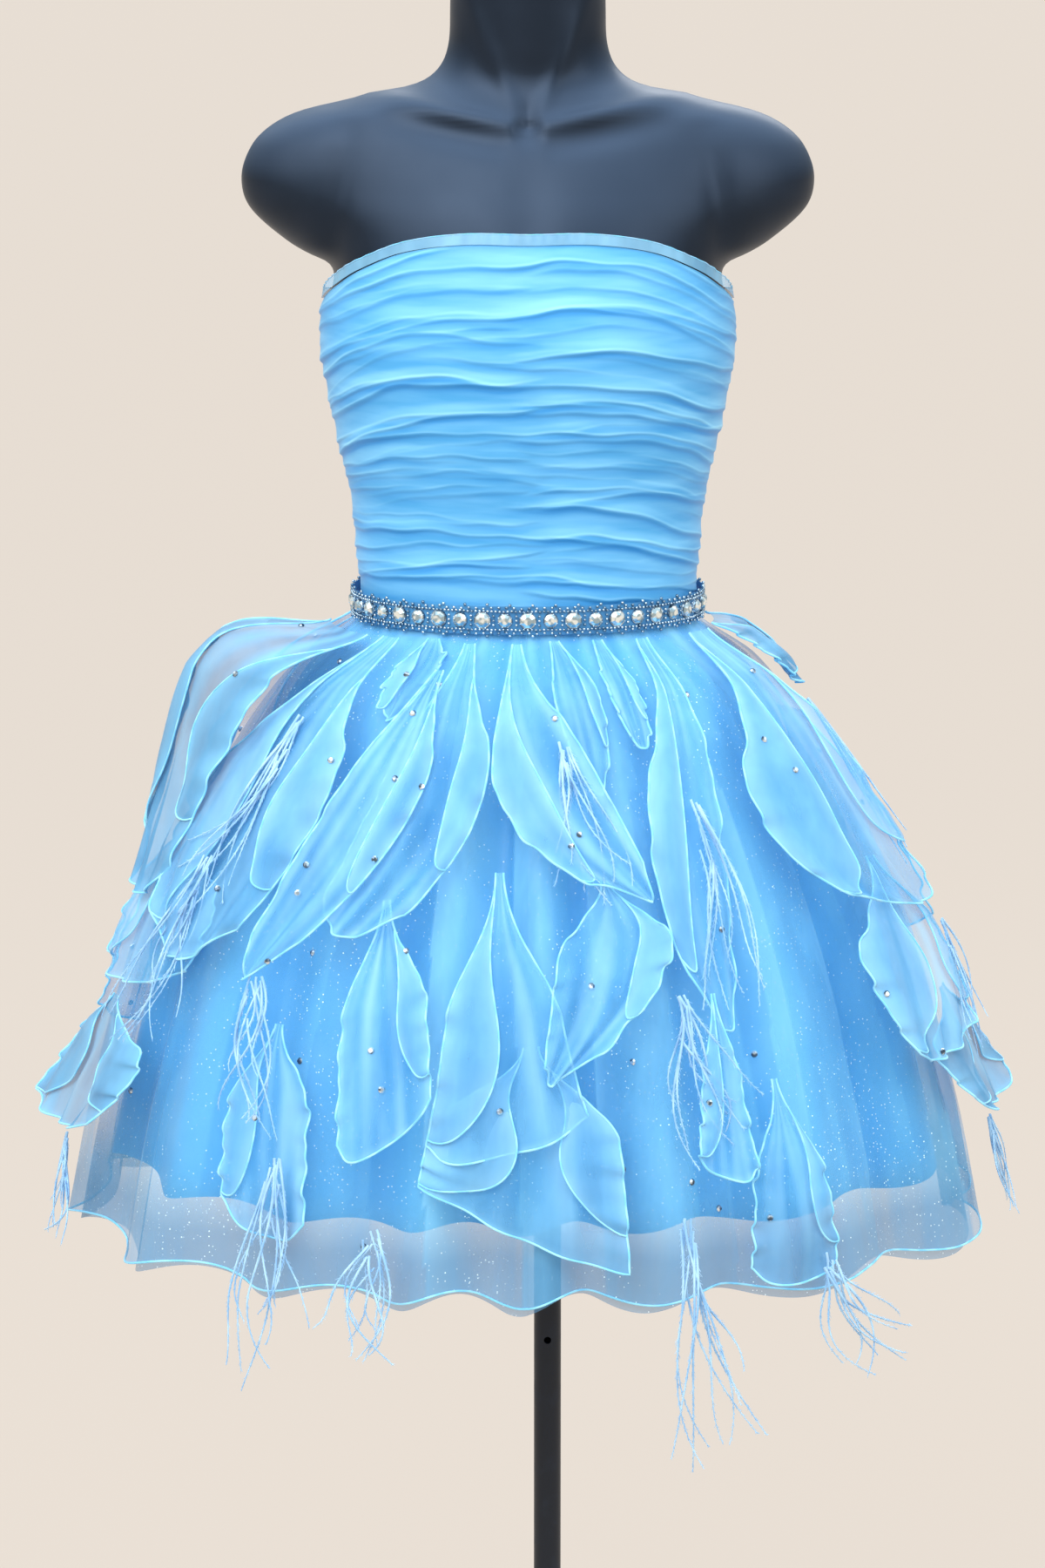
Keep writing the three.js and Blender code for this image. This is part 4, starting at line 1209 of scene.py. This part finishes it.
# A ruffle is drawn in at its top and rounded at its tip, and it runs in flutes, in millimetres.
DRAWN_IN = {"share": 0.5, "length": 0.42, "waist": 100, "point": 0.1}
BROAD_ABOVE = 30
HIP_STANDS = {"least": 0.48, "whole": 200, "front": 0.42}
ROUNDING = 0.16
FLUTE = {"degrees": 9, "depth": 6.0, "full_width": 12}
RIPPLE = 1.5
SWELL = 2.6
EDGE_STEPS = {"side": 90, "tip": 36, "lobe": 70}
# These stand clear of the skirt, so the room shows through them, and they get a darker copy of the organza
# as painted shade.
PAINTED_SHADE_RUFFLES = ("left_hip", "right_hip", "left_point", "right_low")

# The part of an edge that rolls back over the ruffle: where along it, how far across, how far out. Both
# edges roll back on a ruffle wider than so many degrees, and the lobe's own edge is a thinner thread.
LOBE = {"start": 0.03, "end": 0.97, "reach": 0.46, "lift": 5.0, "both_above": 24, "thread": 0.85}


def on_edge(entry, side, s):
    """A place on a ruffle's left (0) or right (1) edge, which runs through three places."""
    point = []
    for n in (2 * side, 2 * side + 1):
        top, middle, tip = entry["top"][n], entry["middle"][n], entry["tip"][n]
        bend = 2 * middle - (top + tip) / 2
        point.append((1 - s) ** 2 * top + 2 * s * (1 - s) * bend + s**2 * tip)
    return point


def drawn_in(entry):
    """How wide a ruffle's top is gathered: a hip stays broad, and one below the waist ends in a point."""
    if entry["puff"] > BROAD_ABOVE:
        return 1.0
    return DRAWN_IN["share"] if entry["top"][1] < DRAWN_IN["waist"] else DRAWN_IN["point"]


def settling(entry, t):
    """A hip ruffle stands off at the side and settles on the skirt towards the front."""
    if entry["puff"] <= BROAD_ABOVE:
        return 1.0
    towards_front = t if entry["top"][0] < 0 else 1 - t
    at_side = min(1.0, HIP_STANDS["least"] + entry["puff"] / HIP_STANDS["whole"])
    return at_side * lerp(1, HIP_STANDS["front"], smooth(towards_front, 0.3, 1.0))


def middle_width(entry):
    """How wide a ruffle is at its middle, in degrees."""
    return abs(entry["middle"][2] - entry["middle"][0])


def standing_off(entry, s, t):
    """How far a ruffle's puff and flare lift it off the skirt, in millimetres."""
    across = (2 * t - 1) ** 2
    flared = entry["flare"] * max(0, s) ** FLARE["curve"] * lerp(FLARE["middle"], 1, across)
    puffed = entry["puff"] * max(0.0, 1 - s) ** PUFF["fall"] * smooth(s, 0, PUFF["start"])
    return flared, puffed * settling(entry, t)


def fluting(entry, s, t, seed):
    """The flutes that run down a ruffle, and the swelling of its middle, in millimetres."""
    width = middle_width(entry)
    flutes = max(1.0, width / FLUTE["degrees"])
    wave = 0.5 + 0.5 * math.sin(2 * math.pi * flutes * t + seed + 1.6 * s)
    fluted = FLUTE["depth"] * wave * smooth(s, 0.02, 0.9) * min(1.0, width / FLUTE["full_width"])
    along = math.sin(math.pi * min(1, s + 0.1))
    uneven = 0.5 + soft_noise(2.4 * s, 2.1 * t, seed + 4)
    return fluted + SWELL * math.sin(math.pi * t) * along * uneven


def ruffle_point(entry, s, t, lift=0.0):
    """A place on a ruffle. s runs from its top to its tip, and t from its left edge to its right."""
    seed = len(entry["name"]) + entry["top"][0] * 0.37
    side = abs(2 * t - 1)
    s = s * (1 - ROUNDING * side**3 * (0.7 + 0.6 * soft_noise(t * 3, seed)))
    gathered = lerp(drawn_in(entry), 1, smooth(s, 0, DRAWN_IN["length"]))
    t = 0.5 + (t - 0.5) * gathered
    left, right = on_edge(entry, 0, s), on_edge(entry, 1, s)
    angle = math.radians(lerp(left[0], right[0], t))
    drop = lerp(left[1], right[1], t)
    flared, puffed = standing_off(entry, s, t)
    waves = math.sin(31 * s + seed) + 0.7 * math.sin(53 * s)
    ripple = RIPPLE * side**4 * smooth(s, 0.1, 0.4) * waves
    out = RUFFLE_CLEARANCE + entry["layer"] * RUFFLE_STEP + flared + puffed + lift
    out += fluting(entry, s, t, seed) + ripple
    return over_skirt(angle, drop - PUFF["rise"] * puffed + 0.6 * ripple, out)


def lobe_sides(entry):
    """Which edges roll back over the ruffle: 0 is the left one and 1 the right."""
    first = len(entry["name"]) % 2
    return (first, 1 - first) if middle_width(entry) > LOBE["both_above"] else (first,)


def lobe_point(entry, side, s, x):
    """A place on the rolled back edge. x is 0 at the ruffle's edge and 1 at the lobe's own edge."""
    start, end = LOBE["start"] + 0.1 * side, LOBE["end"] - 0.12 * side
    along = lerp(start, end, s)
    reach = LOBE["reach"] * math.sin(math.pi * s) ** 0.75 * (1 - 0.3 * side)
    t = reach * x if side == 0 else 1 - reach * x
    rolled = math.sin(0.8 * math.pi * x) + 0.15 * x
    lift = LOBE["lift"] * math.sin(math.pi * s) ** 0.6 * rolled + 0.5 * x
    return ruffle_point(entry, along, t, lift)


def ruffle_edges(entry):
    """The rolled edge: down the left side, along the tip and up the right."""
    sides, tip = EDGE_STEPS["side"], EDGE_STEPS["tip"]
    down = [(n / sides, 0.0) for n in range(sides + 1)]
    along = [(1.0, n / tip) for n in range(1, tip)]
    up = [(1 - n / sides, 1.0) for n in range(sides + 1)]
    return [ruffle_point(entry, s, t) for s, t in down + along + up]


def ruffle_shade(seed, u, v):
    """Streaks run down a ruffle, and it is doubled and paler beside its edge."""
    near_edge = max(smooth(abs(2 * u - 1), 0.86, 1.0), smooth(1 - v, 0.95, 1.0))
    streak = 0.5 + 1.1 * soft_noise(7 * u, 1.1 * v, seed)
    return min(1.0, max(0.0, 0.75 * streak) + 0.3 * near_edge)


def lobe_shade(seed, u, v):
    return min(1.0, 0.45 + 0.5 * abs(2 * u - 1) ** 2 + 0.4 * soft_noise(3 * v, seed))


def make_ruffles():
    sizes, colours = bpy.context.scene.dress_sizes, bpy.context.scene.dress_colours
    # The pale blue is the ruffles' colour along streaks and doubled edges, partly painted highlight.
    cloth = organza("ruffle organza", colours.organza, srgb("#58aee8"), srgb("#9fd8f7"), 0.3, 0.62)
    # A darker copy of the ruffle organza: painted shade.
    shaded = organza(
        "ruffle organza with painted shade", srgb("#5b96c0"), srgb("#457aa4"), srgb("#7fc0e4"), 0.64, 0.88
    )
    thread = rolled_edge("rolled edge thread", colours.piping)
    lines = []
    for entry in RUFFLES:
        seed = entry["layer"] + entry["top"][0]

        def place(u, v):
            return ruffle_point(entry, v, u)

        bm = cloth_grid(
            RUFFLE_COLUMNS,
            RUFFLE_ROWS,
            lambda u, v: place(u, 1 - v),
            crest=lambda u, v: ruffle_shade(seed, u, v),
        )
        for side in lobe_sides(entry):
            lobe = cloth_grid(
                LOBE_COLUMNS,
                LOBE_ROWS,
                lambda u, v: lobe_point(entry, side, 1 - v, u),
                crest=lambda u, v: lobe_shade(seed, u, v),
            )
            pour_into(bm, lobe)
            steps = EDGE_STEPS["lobe"]
            inner = [lobe_point(entry, side, n / steps, 1.0) for n in range(steps + 1)]
            lines.append([(point, LOBE["thread"] * sizes.piping_radius) for point in inner])
        finish = shaded if entry["name"] in PAINTED_SHADE_RUFFLES else cloth
        piece = finished(bm, "organza_" + entry["name"], finish, ["ruffle_" + entry["name"]], "organza")
        as_sheet(place, grain=(24, 40))
        lines.append([(point, sizes.piping_radius) for point in ruffle_edges(entry)])
    threads("ruffle_rolled_edges", lines, 6, thread, "organza")


# ---------- feathers ----------

# A strand's ranges are in degrees for spread, shift, wave and curl, and in millimetres for its lifts.
FEATHER_SEED = 1200
STRAND = {
    "steps": 26,
    "spread": (1.0, 2.6),
    "shift": 1.1,
    "wave": (0.6, 2.4),
    "curl": (0.6, 3.4),
    "lift": (-6, 3),
    "tip_lift": (-6, 6),
    "thickness": (0.75, 1.1),
}
BARB = {"apart": 1.3, "length": 4.6, "radius": 0.22, "lean": 0.45}


def strand_path(tuft, chance, side):
    """One strand of a tuft. The strands leave one root together, drift apart and curl at their tips."""
    first = tuft["length"] * (0.02 + 0.3 * chance.random() ** 2)
    own = tuft["length"] * (1.12 - 0.45 * chance.random() ** 1.6) - first
    spread = side * chance.uniform(*STRAND["spread"])
    shift = chance.uniform(-STRAND["shift"], STRAND["shift"])
    wave, phase = chance.uniform(*STRAND["wave"]), chance.uniform(0, 6.28)
    curl = chance.choice((-1, 1)) * chance.uniform(*STRAND["curl"])
    lift, tip_lift = chance.uniform(*STRAND["lift"]), chance.uniform(*STRAND["tip_lift"])
    path = []
    for k in range(STRAND["steps"] + 1):
        share = k / STRAND["steps"]
        swing = wave * (math.sin(4.2 * share + phase) - math.sin(phase))
        apart = shift + spread * share**1.3 + swing + curl * share**4
        angle = math.radians(tuft["angle"] + tuft["lean"] * share + apart)
        bowed = lift * math.sin(math.pi * share) + tip_lift * share**2
        settled = tuft["lift"] * (1 - 0.25 * share) + bowed + abs(side) * share
        drop = tuft["drop"] + first + own * (share - 0.05 * share**3)
        path.append(over_skirt(angle, drop, FEATHER_CLEARANCE + settled))
    return path


def make_feathers():
    sizes, colours = bpy.context.scene.dress_sizes, bpy.context.scene.dress_colours
    feather = ostrich_feather("dyed ostrich feather", colours.feather, srgb("#8cbde6"))
    for number, tuft in enumerate(TUFTS):
        chance = random.Random(FEATHER_SEED + number)
        lines = []
        for n in range(sizes.strands):
            side = (n / (sizes.strands - 1) - 0.5) * (tuft["strands"] - 1)
            path = strand_path(tuft, chance, side)
            quill = sizes.strand_radius * chance.uniform(*STRAND["thickness"])
            last = len(path) - 1
            lines.append([(p, lerp(quill, 0.3 * quill, i / last)) for i, p in enumerate(path)])
            lines.extend(barbs(path, chance))
        threads("feathers_" + tuft["name"], lines, 4, feather, "feather", ["feather_" + tuft["name"]])


def barbs(path, chance):
    """Short soft barbs on both sides of a quill, which lean towards its tip."""
    lines = []
    thick, thin = BARB["radius"] * MM, 0.4 * BARB["radius"] * MM
    for i in range(len(path) - 1):
        step = path[i + 1] - path[i]
        along = step.normalized()
        across = along.cross(Vector((path[i].x, path[i].y, 0))).normalized()
        for k in range(max(1, round(step.length / MM / BARB["apart"]))):
            root = path[i] + step * chance.random()
            stray = Vector([chance.uniform(-0.5, 0.5) for _ in range(3)])
            aside = across * (1 if k % 2 else -1) + stray
            reach = BARB["length"] * chance.uniform(0.5, 1.2) * (1 - 0.5 * i / len(path)) * MM
            tip = root + (along + aside * BARB["lean"]).normalized() * reach
            lines.append([(root, thick), (tip, thin)])
    return lines


# ---------- crystals ----------

# Where crystals lie in the camera's picture, which is 1200 by 1800.
PICTURE = {"width": 1200, "height": 1800}
FRONT_CRYSTALS = (
    (391, 760), (467, 775), (504, 786), (474, 819), (454, 894), (484, 903), (380, 873), (430, 986),
    (352, 993), (346, 719), (271, 774), (788, 798), (637, 825), (864, 771), (877, 849), (913, 884),
    (665, 958), (656, 971), (250, 1020), (342, 1025), (307, 1103), (360, 1094), (345, 1218),
    (293, 1283), (151, 1252), (466, 1092), (426, 1206), (438, 1251), (679, 1132), (574, 1276),
    (727, 1219), (716, 1342), (1018, 1141), (866, 1210), (815, 1266), (828, 1067), (1082, 1207),
    (418, 1431), (794, 1357), (825, 1387), (884, 1398),
)  # fmt: skip
CRYSTAL_GAP = 0.3 * MM
BACK_RUFFLE_CRYSTALS = ((0.2, 0.5), (0.42, 0.3), (0.55, 0.7), (0.76, 0.42), (0.9, 0.6))


def add_crystal(bm, place, outwards, radius):
    up = Vector((0, 0, 1))
    across = up.cross(outwards).normalized()
    level = outwards.cross(across)
    add_gem(bm, frame_at(place, across, level, outwards), radius, 8, radius * 0.8)


def make_crystals():
    radius = bpy.context.scene.dress_sizes.crystal_radius
    trees = []
    for piece in bpy.data.objects:
        if piece.name.startswith(("organza_", "skirt_organza")):
            bm = bmesh.new()
            bm.from_mesh(piece.data)
            trees.append(BVHTree.FromBMesh(bm))
            bm.free()
    gems = bmesh.new()
    for x, y in FRONT_CRYSTALS:
        start, direction = picture_ray(x, y)
        hits = [tree.ray_cast(start, direction) for tree in trees]
        hits = [hit for hit in hits if hit[0] is not None]
        if not hits:
            continue
        place, normal, _, _ = min(hits, key=lambda hit: hit[3])
        outwards = normal if normal.dot(direction) < 0 else -normal
        add_crystal(gems, place + outwards * CRYSTAL_GAP, outwards, radius)
    for entry in RUFFLES:
        if entry["name"].startswith("back"):
            for s, t in BACK_RUFFLE_CRYSTALS:
                place = ruffle_point(entry, s, t)
                down = ruffle_point(entry, s + 0.01, t) - place
                across = ruffle_point(entry, s, t + 0.01) - place
                outwards = down.cross(across).normalized()
                add_crystal(gems, place + outwards * CRYSTAL_GAP, outwards, radius)
    # The crystal's pale and grey colours are painted reflection.
    crystal = cut_crystal("loose flat backed crystal", srgb("#e9f1f4"), srgb("#5f6f7e"))
    finished(gems, "ruffle_crystals", crystal, (), "crystal")


# ---------- camera, light and floor ----------

# The camera looks down on the skirt from 3.5 m away.
CAMERA_AIM = Vector((-17.6, 0, 870)) * MM
CAMERA_DISTANCE = 3.5
CAMERA_PITCH = math.radians(11.5)
SENSOR = 36.0
FOCAL_PIXELS = 5833


def camera_place():
    back = Vector((0, -math.cos(CAMERA_PITCH), math.sin(CAMERA_PITCH)))
    return CAMERA_AIM + CAMERA_DISTANCE * back


def picture_ray(x, y):
    """The camera's place, and the direction towards a place in its picture."""
    forward = (CAMERA_AIM - camera_place()).normalized()
    right = Vector((1, 0, 0))
    up = right.cross(forward)
    across = (x - PICTURE["width"] / 2) / FOCAL_PIXELS
    down = (y - PICTURE["height"] / 2) / FOCAL_PIXELS
    return camera_place(), (forward + right * across - up * down).normalized()


def add_softbox(name, place, size, power, colour):
    light = bpy.data.lights.new(name, "AREA")
    light.shape = "RECTANGLE"
    light.size, light.size_y = size
    light.energy = power
    light.color = colour
    lamp = bpy.data.objects.new(name, light)
    lamp.location = place
    aim = Vector((FORM_BESIDE_POLE * MM, 0, 1.0)) - Vector(place)
    lamp.rotation_euler = aim.to_track_quat("-Z", "Y").to_euler()
    bpy.context.scene.collection.objects.link(lamp)


LIGHTS = table(
    "name place size power colour",
    ("key light", (-0.9, -2.4, 3.4), (2.4, 1.8), 62, (1, 0.99, 0.97)),
    ("fill light", (2.4, -2.2, 2.2), (1.4, 1.8), 28, (0.95, 0.98, 1)),
    ("side light", (-2.4, -1.6, 2.6), (1.2, 1.6), 20, (0.95, 0.98, 1)),
    ("front light", (-0.5, -3.8, 2.3), (2.2, 1.2), 20, (1, 1, 1)),
    ("back light", (0.6, 2.6, 2.6), (2.0, 1.2), 20, (1, 1, 1)),
)


def make_stage():
    scene, colours = bpy.context.scene, bpy.context.scene.dress_colours
    camera = bpy.data.cameras.new("camera")
    camera.sensor_width = SENSOR
    camera.lens = FOCAL_PIXELS / PICTURE["height"] * SENSOR
    camera.clip_end = 200
    holder = bpy.data.objects.new("camera", camera)
    holder.location = camera_place()
    holder.rotation_euler = (math.pi / 2 - CAMERA_PITCH, 0, 0)
    scene.collection.objects.link(holder)
    scene.camera = holder

    floor = bmesh.new()
    bmesh.ops.create_grid(floor, x_segments=8, y_segments=8, size=60)
    mesh = bpy.data.meshes.new("floor")
    floor.to_mesh(mesh)
    floor.free()
    ground = bpy.data.objects.new("floor", mesh)
    scene.collection.objects.link(ground)
    # Seamless studio paper, matt and pale, lit evenly from below so that it keeps one tone.
    material, tree, shader = new_material("matt studio paper")
    paper = with_alpha([0.1 * c for c in colours.floor])
    wire(tree, shader, Base_Color=paper, Roughness=0.9, Specular_IOR_Level=0.1)
    wire(tree, shader, Emission_Color=with_alpha(colours.floor), Emission_Strength=0.85)
    mesh.materials.append(material)

    world = bpy.data.worlds.new("studio")
    world.use_nodes = True
    sky = world.node_tree
    background = next(n for n in sky.nodes if n.type == "BACKGROUND")
    # The studio is brighter overhead than at the height of the dress.
    direction = add_node(sky, "ShaderNodeTexCoord").outputs["Generated"]
    upwards = add_node(sky, "ShaderNodeSeparateXYZ", Vector=direction).outputs["Z"]
    brightness = in_range(sky, upwards, 0.2, 0.95, 0.42, 2.2)
    wire(sky, background, Color=with_alpha(srgb("#e2f1fa")), Strength=brightness)
    scene.world = world
    scene.view_settings.view_transform = "Standard"

    for light in LIGHTS:
        add_softbox(**light)


# ---------- the add-on ----------


def operator(idname, label, words, make):
    """An operator that builds one group of pieces."""

    def execute(self, context):
        make()
        return {"FINISHED"}

    return type(
        "DRESS_OT_" + idname,
        (bpy.types.Operator,),
        {"bl_idname": "dress." + idname, "bl_label": label, "__doc__": words, "execute": execute},
    )


OPERATORS = [
    operator("make_form", "Display form", "Builds the limbless display form", make_form),
    operator("make_stand", "Stand", "Builds the base plate, the pole and the form's socket", make_stand),
    operator("make_bodice", "Bodice", "Builds the three ruched bodice panels", make_bodice),
    operator("make_binding", "Neck binding", "Builds the sheer strip round the top edge", make_binding),
    operator("make_skirt", "Skirt", "Builds the three skirt layers", make_skirt),
    operator("make_belt", "Jewelled belt", "Builds the belt with its stones and beads", make_belt),
    operator("make_ruffles", "Ruffles", "Builds the organza ruffles and their rolled edges", make_ruffles),
    operator("make_feathers", "Feathers", "Builds the feather tufts", make_feathers),
    operator("make_crystals", "Crystals", "Scatters crystals over the ruffles", make_crystals),
    operator("make_stage", "Stage", "Adds the camera, the lights and the floor", make_stage),
]


class DRESS_PT_panel(bpy.types.Panel):
    """Lists the steps and the sizes of the dress"""

    bl_idname = "DRESS_PT_panel"
    bl_label = "Mini Dress"
    bl_space_type = "VIEW_3D"
    bl_region_type = "UI"
    bl_category = "Dress"

    def draw(self, context):
        layout = self.layout
        for group in (context.scene.dress_sizes, context.scene.dress_colours):
            box = layout.box()
            for name in group.__annotations__:
                box.prop(group, name)
        for step in OPERATORS:
            layout.operator(step.bl_idname)


CLASSES = [DressSizes, DressColours, *OPERATORS, DRESS_PT_panel]


def register():
    for entry in CLASSES:
        bpy.utils.register_class(entry)
    bpy.types.Scene.dress_sizes = bpy.props.PointerProperty(type=DressSizes)
    bpy.types.Scene.dress_colours = bpy.props.PointerProperty(type=DressColours)


def unregister():
    del bpy.types.Scene.dress_sizes
    del bpy.types.Scene.dress_colours
    for entry in reversed(CLASSES):
        bpy.utils.unregister_class(entry)


def main():
    register()
    for step in OPERATORS:
        group, name = step.bl_idname.split(".")
        getattr(getattr(bpy.ops, group), name)()


if __name__ == "__main__":
    main()
